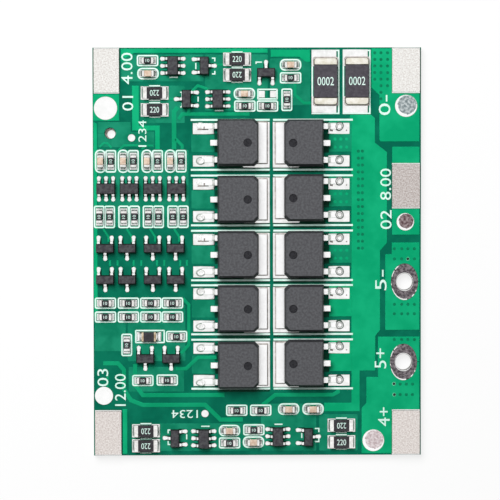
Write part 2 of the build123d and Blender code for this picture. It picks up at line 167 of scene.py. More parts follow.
# Mask runs thin over the rim of an open hole, so the metal below makes it paler there.
MASK_THINNED = finish_of("mask_thinned_at_rims", ("36A97E", "7CCBA8"), patch_mm=0.3, grain_mm=0.15,
                         rough=(0.36, 0.5), bump_mm=0.01, shine=0.1)

# The drilled wall of the locating hole: cut glass fibre and resin, rough. Its lip is painted dark as
# shade, and lower down it is painted paler, as the light from the table that reaches it.
DRILLED_LIP_PAINTED_SHADE, DRILLED_WALL_PAINTED_LIGHT = [
    finish_of(name, tones, patch_mm=0.3, grain_mm=0.1, rough=(0.7, 0.85), bump_mm=0.02)
    for name, tones in (
        ("drilled_lip_painted_shade", ("4A4640", "6E665E")), ("drilled_wall_painted_light", ("B3ACA5", "DDD8D2"))
    )
]

# The drilled wall of a small hole, seen from above: no light comes out of it.
DARK_HOLE = finish_of("drilled_hole_depth", ("0A120E", "142019"), patch_mm=0.2, grain_mm=0.1,
                      rough=(0.6, 0.8), bump_mm=0.01)

# White marking ink, screened on and baked: chalky and just off white, with a faint mint cast.
INK = finish_of("white_marking_ink", ("CDF0E3", "E2F8F0"), patch_mm=0.8, grain_mm=0.12,
                rough=(0.55, 0.7), bump_mm=0.006, shine=0.1)


# Solder and flux

# Tin-lead solder levelled by hot air over copper: bright, with soft ripples where it froze. It thins
# towards its foot, and its steep sides there are painted grey as shade.
HOT_TIN = finish_of("hot_tinned_copper", ("F0F1EF", "FFFFFF"), patch_mm=0.7, grain_mm=0.35,
                    rough=(0.28, 0.4), bump_mm=0.012, metallic=1.0, steep="7A7872")

# Thick mounds of the same solder: their flanks are painted grey as a reflection of the board, and darker
# where they are steep, as painted shade; the tall right ones darkest.
LOW_MOUND_SOLDER, TALL_MOUND_SOLDER_SHADED = [
    finish_of(name, ("E2E3E0", "FFFFFF"), patch_mm=0.35, grain_mm=0.3, rough=(0.26, 0.4), bump_mm=0.03,
              metallic=0.6, steep=steep)
    for name, steep in (("low_mounds_of_solder", "CFD0CB"), ("tall_solder_mounds_painted_shade", "6C6E6B"))
]

# The same solder in thin drops drawn up on small pins, and on a land that stayed level while it froze:
# clean and white, with their steep sides painted grey as shade. The level one also gives the painted
# highlight on the round lands.
DRAWN_SOLDER, LEVEL_SOLDER = [
    finish_of(name, ("F9FAF9", "FFFFFF"), patch_mm=0.9, grain_mm=0.4, rough=(0.32, 0.38), bump_mm=0.002,
              metallic=1.0, steep=steep)
    for name, steep in (("drawn_solder", "DCDDD8"), ("level_solder", "8C8F8E"))
]

# The same solder where it froze slowly: it wrinkled and shows dull grey, reddish or pinkish patches
# where the tin drew back from the copper.
# Their steep faces are painted dark grey as shade
FROSTED_TIN, RED_WRINKLED_TIN, PINK_WRINKLED_TIN, RING_WRINKLED_TIN = [
    finish_of(name, tones, patch_mm=0.34, grain_mm=0.2, rough=(0.36, 0.52), bump_mm=0.03, metallic=1.0,
              patch_range=(0.38, 0.64), steep="5E565A")
    for name, tones in (
        ("frosted_solder", ("7C898C", "CDD5D6")), ("reddish_wrinkled_solder", ("634C50", "A99A9C")),
        ("pinkish_wrinkled_solder", ("BFAEB0", "E8DFE0")), ("ring_wrinkled_solder", ("484347", "8C8488")),
    )
]

# Rosin flux dried at the rim of solder: thin, glassy and grey-brown, darker where it pooled. The thin
# lines round the tabs and the large resistors' ends are painted shade in its colour, and so are the streaks
# beside barely covered feet.
FLUX_LINE_SHADE, POOLED_FLUX_AND_SHADOW = [
    finish_of(name, tones, patch_mm=0.4, grain_mm=0.15, rough=(0.3, 0.45), bump_mm=0.005)
    for name, tones in (("dried_flux_painted_shade", ("A39A96", "C9C1BE")), ("pooled_flux_and_painted_shadow", ("6E655F", "978D87")))
]


# Plated metal

# Nickel-plated strip, rolled: even, dull and pale, with a fine warm grain. The lower plates are a little
# darker and the middle one darker still, and the sides of all are painted dark as shade.
PALE_NICKEL, WARM_NICKEL, DARKEST_NICKEL = [
    finish_of(name, tones, patch_mm=0.2, grain_mm=0.12, rough=(0.45, 0.62), bump_mm=0.01, metallic=0.85,
              patch_range=(0.34, 0.66), steep="5C5552")
    for name, tones in (
        ("rolled_nickel_strip", ("DDD8D3", "FBFBF8")), ("warm_nickel_strip", ("CFC5C0", "EFEAE6")),
        ("darkest_nickel_strip", ("B2A6A1", "DDD8D5")),
    )
]

# Tin plating on stamped copper leads: bright white metal, slightly brushed by the forming tool. Steep
# faces are painted a little grey as shade; on the six-lead packages the slopes of the bends are painted a
# dull grey as shade.
PLATED_LEADS, PINS_WITH_SHADED_BENDS = [
    finish_of(name, (tone, "FFFFFF"), patch_mm=0.5, grain_mm=0.18, rough=(0.3, 0.42), bump_mm=0.006,
              metallic=metallic, steep=steep)
    for name, tone, metallic, steep in (
        ("tin_plated_leads", "FAFAFA", 0.75, "E6E6E3"), ("formed_pins_shaded_bends", "F6F6F4", 1.0, "A9A7A3")
    )
]

# Tin-plated wraps on the ends of chip parts: bright and a little rough from the silver paste below.
# Their sides are painted grey as shade.
PLATED_ENDS = finish_of("tin_plated_ends", ("E4E2DF", "FCFCFA"), patch_mm=0.35, grain_mm=0.15,
                        rough=(0.34, 0.48), bump_mm=0.012, metallic=1.0, steep="7D7974")

# The large resistors' wraps: the same, with a warm film of flux on them. The film is thicker and tan
# on the single 2 mm chip.
# Their steep sides are painted darker as shade
CREAM_ENDS, TAN_ENDS = [
    finish_of(name, tones, patch_mm=0.7, grain_mm=0.2, rough=(0.34, 0.48), bump_mm=0.01, metallic=0.9,
              steep="857D70")
    for name, tones in (
        ("large_plated_ends", ("E6E1D0", "F8F5EC")), ("fluxed_plated_ends", ("AB9474", "DCCBB0"))
    )
]


# Bodies of the parts

# Epoxy filled with silica, moulded in a spark-eroded tool: dark grey and dull, with a fine grain. The
# sloping sides are painted darker as shade, near black on the small cases.
POWER_EPOXY, SMALL_EPOXY = [
    finish_of(name, tones, patch_mm, grain_mm, rough, bump_mm, shine=0.2, steep=steep)
    for name, tones, patch_mm, grain_mm, rough, bump_mm, steep in (
        ("moulded_epoxy_power", ("4B4B4E", "5A5B5E"), 0.3, 0.18, (0.55, 0.7), 0.012, "343437"),
        ("moulded_epoxy_small", ("38353A", "4D4E50"), 0.4, 0.16, (0.5, 0.64), 0.01, "141315"),
    )
]

# The push-out dimple was polished in the same tool, so it is darker and smooth.
POLISHED_EPOXY = finish_of("polished_dimple", ("1E1E22", "28282C"), patch_mm=0.4, grain_mm=0.2,
                           rough=(0.25, 0.35), bump_mm=0.003, shine=0.2)

# Glass glaze over the resistive film, printed and fired: almost black and smooth.
GLAZE = finish_of("fired_resistor_glaze", ("2A282B", "38353A"), patch_mm=0.4, grain_mm=0.2,
                  rough=(0.3, 0.42), bump_mm=0.006, ior=1.6, shine=0.2)

# Epoxy coat of the current-sensing resistors, dipped and cured: dark grey, matt and slightly pebbled.
SENSE_COAT = finish_of("pebbled_epoxy_coat", ("444147", "504D53"), patch_mm=0.35, grain_mm=0.18,
                       rough=(0.5, 0.66), bump_mm=0.02, shine=0.2)

# Barium titanate ceramic of the capacitors, pressed and fired: tan, fine and half glossy.
CERAMIC = finish_of("fired_tan_ceramic", ("C6AA95", "DCC9B6"), patch_mm=0.4, grain_mm=0.15,
                    rough=(0.34, 0.48), bump_mm=0.006, ior=1.7, shine=0.3)


# Outlines: lists of points in the board's plane, in metres, running counterclockwise

def spot_on_board(x, y):
    return Vector((LEFT + x * MM, TOP - y * MM))


def ways_round(count):
    """Vectors of length one, all the way round."""
    return [Vector((cos(2 * pi * i / count), sin(2 * pi * i / count))) for i in range(count)]


def mean(outline):
    return sum(outline, Vector((0, 0))) / len(outline)


def outline_of(points_mm):
    """The outline of places on the board given in millimetres."""
    points = [spot_on_board(x, y) for x, y in points_mm]
    turning = sum(a.x * b.y - b.x * a.y for a, b in zip(points, points[1:] + points[:1]))
    return points if turning > 0 else points[::-1]


# Corners sharper than this are cut short, so that no spike stands out
SHARPEST_MITRE = 0.15


def drawn_in(outline, distance):
    """The outline moved inwards by a distance, with mitred corners."""
    made = []
    for before, here, after in zip(outline[-1:] + outline[:-1], outline, outline[1:] + outline[:1]):
        along, onward = (here - before).normalized(), (after - here).normalized()
        inward = Vector((-along.y, along.x))
        middle = inward + Vector((-onward.y, onward.x))
        made.append(here + middle * (distance / max(SHARPEST_MITRE, middle.dot(inward))))
    return made


def rectangle(centre, size, corner=0.0):
    """A rectangle in millimetres, its corners rounded by a radius."""
    (x, y), w, h = centre, size[0] / 2 - corner, size[1] / 2 - corner
    steps = 5 if corner else 1
    points = []
    for quarter, (side, end) in enumerate(((1, 1), (-1, 1), (-1, -1), (1, -1))):
        for step in range(steps):
            angle = pi / 2 * (quarter + step / max(1, steps - 1))
            points.append((x + side * w + corner * cos(angle), y + end * h + corner * sin(angle)))
    return outline_of(points)


def spanning(left, top, right, bottom, corner=0.0):
    """A rectangle between four sides in millimetres."""
    return rectangle(((left + right) / 2, (top + bottom) / 2), (right - left, bottom - top), corner)


def circle(centre, diameter, count=24):
    (x, y), r = centre, diameter / 2
    return outline_of([(x + r * way.x, y + r * way.y) for way in ways_round(count)])


def track(route, width):
    """The outline of a track of even width that follows a route in millimetres."""
    points = [Vector(point) for point in route]
    sides = [[], []]
    for i, here in enumerate(points):
        along = (here - points[i - 1]).normalized() if i else (points[1] - here).normalized()
        onward = (points[i + 1] - here).normalized() if i + 1 < len(points) else along
        left_side = Vector((-along.y, along.x))
        middle = left_side + Vector((-onward.y, onward.x))
        aside = middle * (width / 2 / max(SHARPEST_MITRE, middle.dot(left_side)))
        sides[0].append(here + aside)
        sides[1].append(here - aside)
    return outline_of([tuple(point) for point in sides[0] + sides[1][::-1]])


# Mesh building

def skin(bm, rings, top=True, bottom=False):
    """Faces between rings of points, closed at the top and the bottom as asked."""
    loops = [[bm.verts.new(point) for point in ring] for ring in rings]
    for low, high in zip(loops, loops[1:]):
        for i in range(len(low)):
            j = (i + 1) % len(low)
            bm.faces.new((low[i], low[j], high[j], high[i]))
    if top:
        bm.faces.new(loops[-1])
    if bottom:
        bm.faces.new(loops[0][::-1])


def at(outline, height):
    return [point.to_3d() + Vector((0, 0, height)) for point in outline]


def surfaced(bm, first, number):
    """Gives the faces from the first one on another of the piece's surfaces."""
    bm.faces.ensure_lookup_table()
    for face in bm.faces[first:]:
        face.material_index = number


def upright(bm, outline, low, high):
    """A flat-topped shape with straight sides."""
    skin(bm, [at(outline, low), at(outline, high)])


def raised(bm, outline, low, high, soft_mm):
    """A flat-topped shape whose rim is rounded over."""
    soft = soft_mm * MM
    skin(bm, [
        at(outline, low),
        at(drawn_in(outline, soft * 0.2), low + (high - low) * 0.55),
        at(drawn_in(outline, soft * 0.55), low + (high - low) * 0.9),
        at(drawn_in(outline, soft), high),
    ])


def hanging(bm, outline, low, high, soft_mm):
    """The same shape on the underside, where it stands down from high to low."""
    soft = soft_mm * MM
    skin(bm, [
        at(drawn_in(outline, soft), low),
        at(drawn_in(outline, soft * 0.4), low + (high - low) * 0.2),
        at(outline, high),
    ], top=False, bottom=True)


def frame_line(bm, outline, width_mm, low=FACE, high=INK_TOP):
    """A line round an outline."""
    inner = drawn_in(outline, width_mm * MM)
    skin(bm, [at(outline, low), at(outline, high), at(inner, high), at(inner, low)], top=False)


def revolved(bm, centre, profile, low, count=20):
    """Rings about a centre, from (radius, height) pairs in millimetres; the last is closed."""
    skin(bm, [
        at([centre + way * radius * MM for way in ways_round(count)], low + height * MM)
        for radius, height in profile
    ])


def piece(name, bm, surfaces, slot, replaces=(), smooth=True):
    """Turns a bmesh into a piece of the board."""
    mesh = bpy.data.meshes.new(name)
    bm.to_mesh(mesh)
    bm.free()
    made = bpy.data.objects.new(name, mesh)
    bpy.context.scene.collection.objects.link(made)
    for surface in surfaces:
        mesh.materials.append(surface)
    for polygon in mesh.polygons:
        polygon.use_smooth = smooth
    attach(made, "root")
    if replaces:
        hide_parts(*replaces)
    return made


# What the CAD nodes give: their solids' boxes and the outlines of their top faces

# A cut through a round recess runs just beside its middle, where no point of its rim lies
CUT_ASIDE = 0.03 * MM


def welded(names, flat=True, cuts=()):
    """The solids of some nodes, with their flat faces in one piece each, parted only along the cuts."""
    bm = bmesh.new()
    for name in names:
        bm.from_mesh(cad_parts[name].data)
    bmesh.ops.remove_doubles(bm, verts=bm.verts, dist=0.001 * MM)
    for spot in cuts:
        everything = bm.verts[:] + bm.edges[:] + bm.faces[:]
        beside = spot + Vector((0, CUT_ASIDE, 0))
        parting = bmesh.ops.bisect_plane(bm, geom=everything, plane_co=beside, plane_no=(0, 1, 0))
        for part in parting["geom_cut"]:
            if isinstance(part, bmesh.types.BMEdge):
                part.seam = True
    if flat:
        bmesh.ops.dissolve_limit(bm, angle_limit=radians(1), verts=bm.verts, edges=bm.edges, delimit={"SEAM"})
    return bm


def solid_boxes(*names):
    """The lowest and highest corner of each separate solid."""
    bm = welded(names)
    boxes = []
    left = set(bm.verts)
    while left:
        group = [left.pop()]
        for vert in group:
            for edge in vert.link_edges:
                other = edge.other_vert(vert)
                if other in left:
                    left.remove(other)
                    group.append(other)
        boxes.append(tuple(
            Vector(pick(vert.co[axis] for vert in group) for axis in range(3)) for pick in (min, max)
        ))
    bm.free()
    return sorted(boxes, key=lambda box: (round(-box[1].y, 4), round(box[0].x, 4)))


def top_outlines(name):
    bm = welded([name])
    outlines = [
        [vert.co.to_2d() for vert in face.verts]
        for face in bm.faces if face.normal.z > 0.99 and abs(face.verts[0].co.z - LAND_TOP) < 0.005 * MM
    ]
    bm.free()
    return outlines


def middle_of(box):
    return (box[0] + box[1]) / 2


def board_place(box):
    """The middle of a box in millimetres from the left and the top edge."""
    middle = middle_of(box)
    return (middle.x - LEFT) / MM, (TOP - middle.y) / MM


def lies_across(box):
    return box[1].x - box[0].x > box[1].y - box[0].y


def span(outline):
    xs, ys = [point.x for point in outline], [point.y for point in outline]
    return Vector((min(xs), min(ys))), Vector((max(xs), max(ys)))


def eased(name, nodes, radius_mm, surface, slot, segments=3, cuts=(), shape=None):
    """The CAD solids of some nodes with their sharp edges eased, as moulding and plating leave them.

    Shape moves a point of a solid, given the solid's middle and half its size."""
    bm = welded(nodes, cuts=cuts)
    if shape:
        solids = [((low + high) / 2, (high - low) / 2) for low, high in solid_boxes(*nodes)]
        for vert in bm.verts:
            around = [
                (middle, half) for middle, half in solids
                if all(abs(vert.co[axis] - middle[axis]) < half[axis] + 0.002 * MM for axis in range(3))
            ]
            shape(vert.co, *min(around, key=lambda solid: solid[1].length))
    made = piece(name, bm, [surface], slot, nodes)
    bevel = made.modifiers.new("eased", "BEVEL")
    bevel.width = radius_mm * MM
    bevel.segments = segments
    bevel.limit_method = "ANGLE"
    bevel.angle_limit = radians(25)
    even = made.modifiers.new("even_normals", "WEIGHTED_NORMAL")
    even.keep_sharp = True
    return made


NODES = list(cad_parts)


def named(start):
    return [name for name in NODES if name.startswith(start)]


CONTROLLER_CASES = named("balance_chip") + named("protection_chip")
SENSE_RESISTORS = ["sense_resistor_left", "sense_resistor_right"]
LEAD_BOXES = solid_boxes("chip_leads", "small_transistor_leads")
END_BOXES = solid_boxes(
    "chip_resistors_ends", "chip_capacitors_ends", "bleed_resistors_ends", "indicator_chip_ends"
)
RESISTOR_BOXES = solid_boxes("chip_resistors")
SMALL_LANDS = top_outlines("small_part_lands")


# Laminate

def bare_laminate():
    """The laminate, cut back on its underside so that the copper there stands down to the CAD's face."""
    bm = welded(["circuit_board"], flat=False)
    for vert in bm.verts:
        if vert.co.z < UNDERSIDE + 0.001 * MM:
            vert.co.z += BACK_COPPER_T
    piece("bare_laminate", bm, [LAMINATE], "green_mask", ["circuit_board"], smooth=False)


LOCATING_SPOT = (2.38, 11.7)
LOCATING_SIDES = 32
# Radius and depth in millimetres, and the share of the drill's lean
LOCATING_WALL = ((0.745, 0.0, 0), (0.7, 0.3, 0.3), (0.55, 1.0, 1), (0.55, 1.1, 1))
DRILL_LEAN = Vector((0.12, -0.1)) * MM


def locating_hole_wall():
    """The wall of the locating hole, flared by the drill, so that its upper left side shows from above."""
    bm = bmesh.new()
    rings = []
    for radius, depth, share in LOCATING_WALL:
        middle = spot_on_board(*LOCATING_SPOT) + DRILL_LEAN * share
        ring = [middle + way * radius * MM for way in ways_round(LOCATING_SIDES)]
        rings.append(at(ring[::-1], FACE - depth * MM))
    skin(bm, rings, top=False)
    surfaced(bm, LOCATING_SIDES, 1)
    piece("locating_hole_wall", bm, [DRILLED_LIP_PAINTED_SHADE, DRILLED_WALL_PAINTED_LIGHT], "green_mask")


# Copper on the front under the mask

def keyhole(x, y, radius, way_in):
    """The way in from an edge, round a hole and out again."""
    start = 0 if way_in > x else pi
    angles = [start - 0.03 - (2 * pi - 0.06) * i / 28 for i in range(29)]
    ring = [(x + radius * cos(angle), y + radius * sin(angle)) for angle in angles]
    return [(way_in, ring[0][1]), *ring, (way_in, ring[-1][1])]


def round_bore(name):
    x, y = board_place([Vector(corner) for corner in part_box(name)])
    return keyhole(x, y, 1.3, 44.8)


# Middles of the power transistors, down each rank
ROW_PLACES = {
    side: [board_place([Vector(corner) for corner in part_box(f"power_metal_{side}_{row}")])[1]
           for row in range(1, 6)]
    for side in ("left", "right")
}
COPPER_FIELDS = [
    [(38.2, 0.15), (41.05, 0.15), (44.8, 0.15), (44.8, 12.9), (39.5, 12.9), (39.3, 12.7), (39.3, 6.55),
     (38.2, 5.5)],
    [(35.25, 9.2), (38.15, 9.2), (38.7, 9.7), (38.7, 13.05), (40.35, 14.35), (40.35, 26.8), (39.4, 27.9),
     (39.4, 38.8), (38.75, 39.6), (38.75, 44.4), (36.6, 44.4), (36.6, 50), (31.7, 50), (31.7, 48.8),
     (35.45, 48.8), (35.45, 9.9), (35.25, 9.9)],
    [(41.05, 13.6), (44.8, 13.6), (44.8, 25.7), (41.05, 25.7)],
    [(41, 26.75), (44.8, 26.75), *round_bore("output_hole_minus"), (44.8, 38.8), (40.1, 38.8),
     (40.1, 28.35), (41, 28.35)],
    [(39.1, 39.7), (44.8, 39.7), *round_bore("output_hole_plus"), (44.8, 55.8), (36.85, 55.8),
     (36.85, 49.55), (37.5, 48.85), (37.5, 45.25), (39.1, 45.25)],
    [(0.1, 6.35), (3.65, 6.35), (3.65, 10), (0.1, 10)],
    [(3.9, 0.15), (24.0, 0.15), (24.0, 0.75), (5.7, 0.75), (4.6, 1.4), (3.9, 1.4)],
    [(24.4, 0.3), (29.8, 0.3), (29.8, 2), (29.25, 2), (28.3, 1.3), (24.4, 1.3)],
    [(5.4, 5.2), (6.35, 5.2), (6.35, 10.65), (9.2, 10.65), (9.2, 13.9), (8.55, 13.9), (8.55, 11.35),
     (5.4, 11.35)],
    [(0.1, 10.1), (0.6, 10.4), (0.6, 36.9), (0.1, 36.9)],
    [(3.95, 49.6), (4.6, 49.6), (4.6, 55.8), (3.95, 55.8)],
]
# Between the lead lands of each right power transistor; the three upper ones are a deeper green
LEAD_FIELDS = [
    [(32.4, y - 3.3), (35.5, y - 3.3), (35.5, y + 1.2), (32.4, y + 1.2)] for y in ROW_PLACES["right"]
]
COPPER_FIELDS += LEAD_FIELDS[3:]

# Width and route of each track
COPPER_TRACKS = [
    (0.65, [(11.15, 13.9), (11.15, 8.75), (11.7, 8.15)]),
    (0.45, [(12.25, 13.9), (12.25, 13.4), (11.3, 12.45)]),
    (0.5, [(11.75, 9.85), (12.3, 9.1), (21.5, 9.1)]),
    (0.6, [(1.3, 43.3), (3.35, 43.3), (4.15, 44.2), (4.15, 46.9), (5.1, 48.4), (6.75, 49.05), (15.3, 49.05),
           (17.4, 51.1), (20.5, 51.1)]),
    (0.6, [(5.7, 43.4), (5.7, 46.25), (6.75, 47.7), (18.0, 47.7)]),
    (0.45, [(12.3, 34.4), (13.1, 35.25), (13.1, 40.75), (12, 42)]),
    (0.5, [(16.9, 42.5), (14.35, 42.5), (12.7, 44.05), (11.3, 44.05)]),
    (0.55, [(33.6, 46.9), (33.6, 47.3), (32.9, 47.7), (24.95, 47.7), (23.2, 49.1)]),
    (0.4, [(27.75, 4.9), (27.75, 6.5), (28.95, 7.6), (29.9, 7.6)]),
    (0.35, [(5.3, 2.6), (4.7, 2.6), (4.7, 2.0), (3.9, 1.6)]),
    (0.4, [(13.1, 9.0), (13.6, 6.0), (14.4, 5.2), (15.6, 5.6), (15.9, 6.3)]),
    (0.35, [(16.9, 2.35), (18.0, 2.35)]),
    (0.35, [(10.0, 7.05), (11.6, 7.05)]),
    (0.35, [(18.8, 8.1), (19.6, 8.1)]),
    (0.3, [(0.9, 13.6), (1.5, 13.05), (2.0, 13.05), (2.6, 13.7)]),
    (0.3, [(3.5, 14.1), (4.3, 13.35), (6.3, 13.35)]),
    (0.3, [(6.7, 13.9), (7.3, 13.4), (8.3, 13.4)]),
    (0.3, [(1.9, 46.6), (1.9, 44.9)]),
]
for x in (2.3, 3.35, 5.55, 6.6, 8.75, 9.75, 11.95, 12.85):
    COPPER_TRACKS.append((0.3, [(x, 29.1), (x, 29.9)]))
for x in (2.3, 5.5, 8.7, 12.0):
    COPPER_TRACKS.append((0.3, [(x - 0.9, 24.8), (x - 0.2, 25.9), (x - 0.2, 26.6)]))


def masked_copper():
    """Fields and tracks, their rims rounded over by the mask."""
    for name, outlines, top, surface, replaced in (
        ("masked_front_copper", map(outline_of, COPPER_FIELDS), COPPER_TOP, MASK_OVER_COPPER,
         ["masked_copper"]),
        ("masked_fields_by_leads", map(outline_of, LEAD_FIELDS[:3]), COPPER_TOP, MASK_BY_LEADS, ()),
        ("masked_tracks", [track(route, width) for width, route in COPPER_TRACKS], TRACK_TOP,
         MASK_OVER_TRACKS, ()),
    ):
        bm = bmesh.new()
        for outline in outlines:
            raised(bm, outline, FACE, top, 0.07)
        piece(name, bm, [surface], "green_mask_on_copper", replaced, smooth=False)


# Left, top, right and bottom of the copper on the far side, where it shows through
FAR_COPPER = [
    (0.75, 14.0, 13.1, 24.6), (0.15, 37.0, 4.4, 41.6), (4.7, 35.3, 12.6, 43.0), (3.95, 0.95, 15.2, 4.6),
    (6.5, 5.2, 12.6, 10.3), (15.4, 0.95, 24.0, 8.6), (24.3, 1.5, 29.8, 7.9), (5.2, 51.6, 22.6, 55.4),
    (23.0, 48.9, 30.6, 55.4), (31.0, 50.4, 36.3, 55.4), (4.8, 43.8, 12.4, 47.2),
]
FAR_COPPER += [(13.5, y - 1.25, 16.6, y + 1.25) for y in ROW_PLACES["left"]]
FAR_CORNER_FIELD = [(0.7, 10.15), (5.2, 10.15), (5.2, 11.5), (8.4, 11.5), (8.4, 13.6), (0.7, 13.6),
                    *keyhole(*LOCATING_SPOT, 0.82, 0.7)]


def far_copper_showing():
    bm = bmesh.new()
    for sides in FAR_COPPER:
        raised(bm, spanning(*sides, 0.15), FACE, FAR_COPPER_TOP, 0.12)
    raised(bm, outline_of(FAR_CORNER_FIELD), FACE, FAR_COPPER_TOP, 0.1)
    piece("far_copper_showing", bm, [MASK_MIDDLE], "green_mask", smooth=False)


# Where the cases of each rank, and the necks of their leads, start and stop across the board
CASE_SPANS = {"left": (17.0, 24.2), "right": (24.75, 31.9)}
NECK_SPANS = {"left": (16.7, 17.5), "right": (31.4, 32.35)}
# Strips of painted shade at the necks, from the middle of the transistor
NECK_SHADE_STRIPS = ((-1.3, -0.5), (0.5, 1.3), (-2.95, -2.4), (2.4, 2.95))
# The painted shadow along a case's lower side, and half the height of the painted shade between two cases
LOWER_SIDE_SHADE = (3.14, 3.76)
BETWEEN_SHADE_HALF = 0.25
SHADE_ROUND_LEADS = 0.42


def painted_shade_strips():
    """Between the power cases and round the leads there is no copper on either side, and painted shade
    darkens the bare laminate there further.
    """
    bm = bmesh.new()
    for side, ys in ROW_PLACES.items():
        left, right = CASE_SPANS[side]
        neck_left, neck_right = NECK_SPANS[side]
        for y in ys:
            for top, bottom in NECK_SHADE_STRIPS:
                strip = spanning(neck_left, y + top, neck_right, y + bottom)
                raised(bm, strip, FACE, SHADE_STRIP_TOP, 0.02)
            top, bottom = LOWER_SIDE_SHADE
            raised(bm, spanning(left, y + top, right, y + bottom, 0.1), FACE, SHADE_STRIP_TOP, 0.05)
        for y, below in zip(ys, ys[1:]):
            between = (y + below) / 2
            strip = spanning(left, between - BETWEEN_SHADE_HALF, right, between + BETWEEN_SHADE_HALF, 0.1)
            raised(bm, strip, FACE, SHADE_STRIP_TOP, 0.05)
    # Painted shade round the small leads
    for box in LEAD_BOXES:
        size = [side / MM + SHADE_ROUND_LEADS for side in box[1] - box[0]]
        raised(bm, rectangle(board_place(box), size, 0.1), FACE, SHADE_RIM_TOP, 0.1)
    piece("painted_shade_strips", bm, [MASK_PAINTED_SHADE], "green_mask", smooth=False)


# Small through connections: most are filled with mask, three are open

HOLE_SPOTS = []
for x, count in ((38.65, 5), (39.5, 9), (40.4, 6)):
    HOLE_SPOTS += [(x, 0.75 + 0.9 * step) for step in range(count)]
for x in (36.4, 36.95):
    HOLE_SPOTS += [(x, 14.2 + 0.95 * step) for step in range(15)]
for y in (27.6, 29.0, 35.25, 36.55, 40.1):
    HOLE_SPOTS += [(x, y) for x in (41.35, 42.35, 43.2, 44.1)]
for y in (46.25, 47.7):
    HOLE_SPOTS += [(x, y) for x in (42.15, 43.0, 43.85)]
HOLES_BY_LEADS = [(x, row_y + aside) for row_y in ROW_PLACES["right"][:3] for x in (33.2, 34.0, 34.8)
                  for aside in (-0.55, 0.55)]
OPEN_HOLES = [(43.2, 29.0), (41.3, 46.2), (41.35, 47.7)]
HOLE_SPOTS = [spot for spot in HOLE_SPOTS if spot not in OPEN_HOLES]

# Radius and height over the copper, from the rim inwards
FILLED_HOLE = ((0.22, 0.0), (0.19, 0.01), (0.15, 0.012), (0.1, 0.004))
OPEN_RIM = ((0.27, 0.0), (0.26, 0.014), (0.2, 0.014), (0.18, 0.0))
OPEN_DEPTH = ((0.21, 0.006), (0.14, 0.004), (0.06, 0.002))


def small_holes():
    for name, spots, profile, count, surface, slot in (
        ("filled_holes", HOLE_SPOTS, FILLED_HOLE, 10, MASK_IN_HOLES, "green_mask"),
        ("filled_holes_by_leads", HOLES_BY_LEADS, FILLED_HOLE, 10, MASK_OVER_COPPER, "green_mask"),
        ("open_hole_rims", OPEN_HOLES, OPEN_RIM, 14, MASK_THINNED, "green_mask_on_copper"),
        ("open_hole_depths", OPEN_HOLES, OPEN_DEPTH, 14, DARK_HOLE, "tinned_copper"),
    ):
        bm = bmesh.new()
        for spot in spots:
            revolved(bm, spot_on_board(*spot), profile, COPPER_TOP, count)
        piece(name, bm, [surface], slot)


# Where the look departs a little from the CAD: each function moves a point of a solid

UPPER_PLATE_CUT = 0.34 * MM
LOWER_PLATE_CUT = 0.2 * MM


def narrowed(point, middle=None, half=None):
    """The two left plates, and their solder, end nearer to the left edge."""
    if LEFT + 3 * MM < point.x < LEFT + 5 * MM:
        point.x -= UPPER_PLATE_CUT if point.y > 0 else LOWER_PLATE_CUT


LOWER_SIDE_TAPER = 0.2 * MM
UPPER_SIDE_TAPER = 0.07 * MM
DIMPLE_SHIFT = 0.15 * MM
RIGHT_CASE_CUT = 0.22 * MM


def drafted(point, middle, half):
    """Power cases taper more at the side towards the bottom edge, and the right ones are shorter.

    Their dimples lie a little nearer to the left edge."""
    share, off = (point.z - middle.z + half.z) / (2 * half.z), point - middle
    if abs(off.y) > 1.5 * MM:
        point.y += share * (LOWER_SIDE_TAPER if off.y < 0 else -UPPER_SIDE_TAPER)
    elif abs(off.y) < 0.7 * MM and abs(off.x) < half.x - 0.4 * MM:
        point.x -= DIMPLE_SHIFT
    if off.x > 1.5 * MM and middle.x > 0:
        point.x -= RIGHT_CASE_CUT


LEAD_REACH = 0.35 * MM
MIDDLE_LEAD_CUT = 0.28 * MM


def slid_in(point, middle, half):
    """The right leads reach into the shorter cases, and their cut middle leads are shorter."""
    if middle.x > 0 and half.y < 0.6 * MM:
        if point.x < middle.x - half.x + 0.05 * MM:
            point.x -= LEAD_REACH
        elif half.x < 0.6 * MM:
            point.x -= MIDDLE_LEAD_CUT


SMALL_CASE_SHARE = 0.9


def shortened(point, middle, half):
    """Small cases are a tenth shorter."""
    axis = 0 if half.x > half.y else 1
    point[axis] = middle[axis] + (point[axis] - middle[axis]) * SMALL_CASE_SHARE


# Solder on the lands

# Share of the way out to the rim, and share of the crown's height
PILLOW = ((0.8, 0.45), (0.55, 0.8), (0.28, 0.97), (0.1, 1.0))


def solder_pillow(bm, outline, crown_mm, lean=Vector((0, 0))):
    """Solder on a land: straight at the rim, then crowned, its top drawn towards the lean."""
    rim = drawn_in(outline, 0.05 * MM)
    centre = mean(outline) + lean
    rings = [at(outline, FACE), at(outline, LAND_TOP - 0.03 * MM), at(rim, LAND_TOP)]
    for share, rise in PILLOW:
        ring = [centre + (point - centre) * share for point in rim]
        rings.append(at(ring, LAND_TOP + rise * crown_mm * MM))
    skin(bm, rings)


def nearest(boxes, point):
    return min(boxes, key=lambda box: (middle_of(box).to_2d() - point).length)


HEAD_RADIUS = 0.3 * MM
NECK_HALF = 0.15 * MM
HEAD_ARC = radians(220)


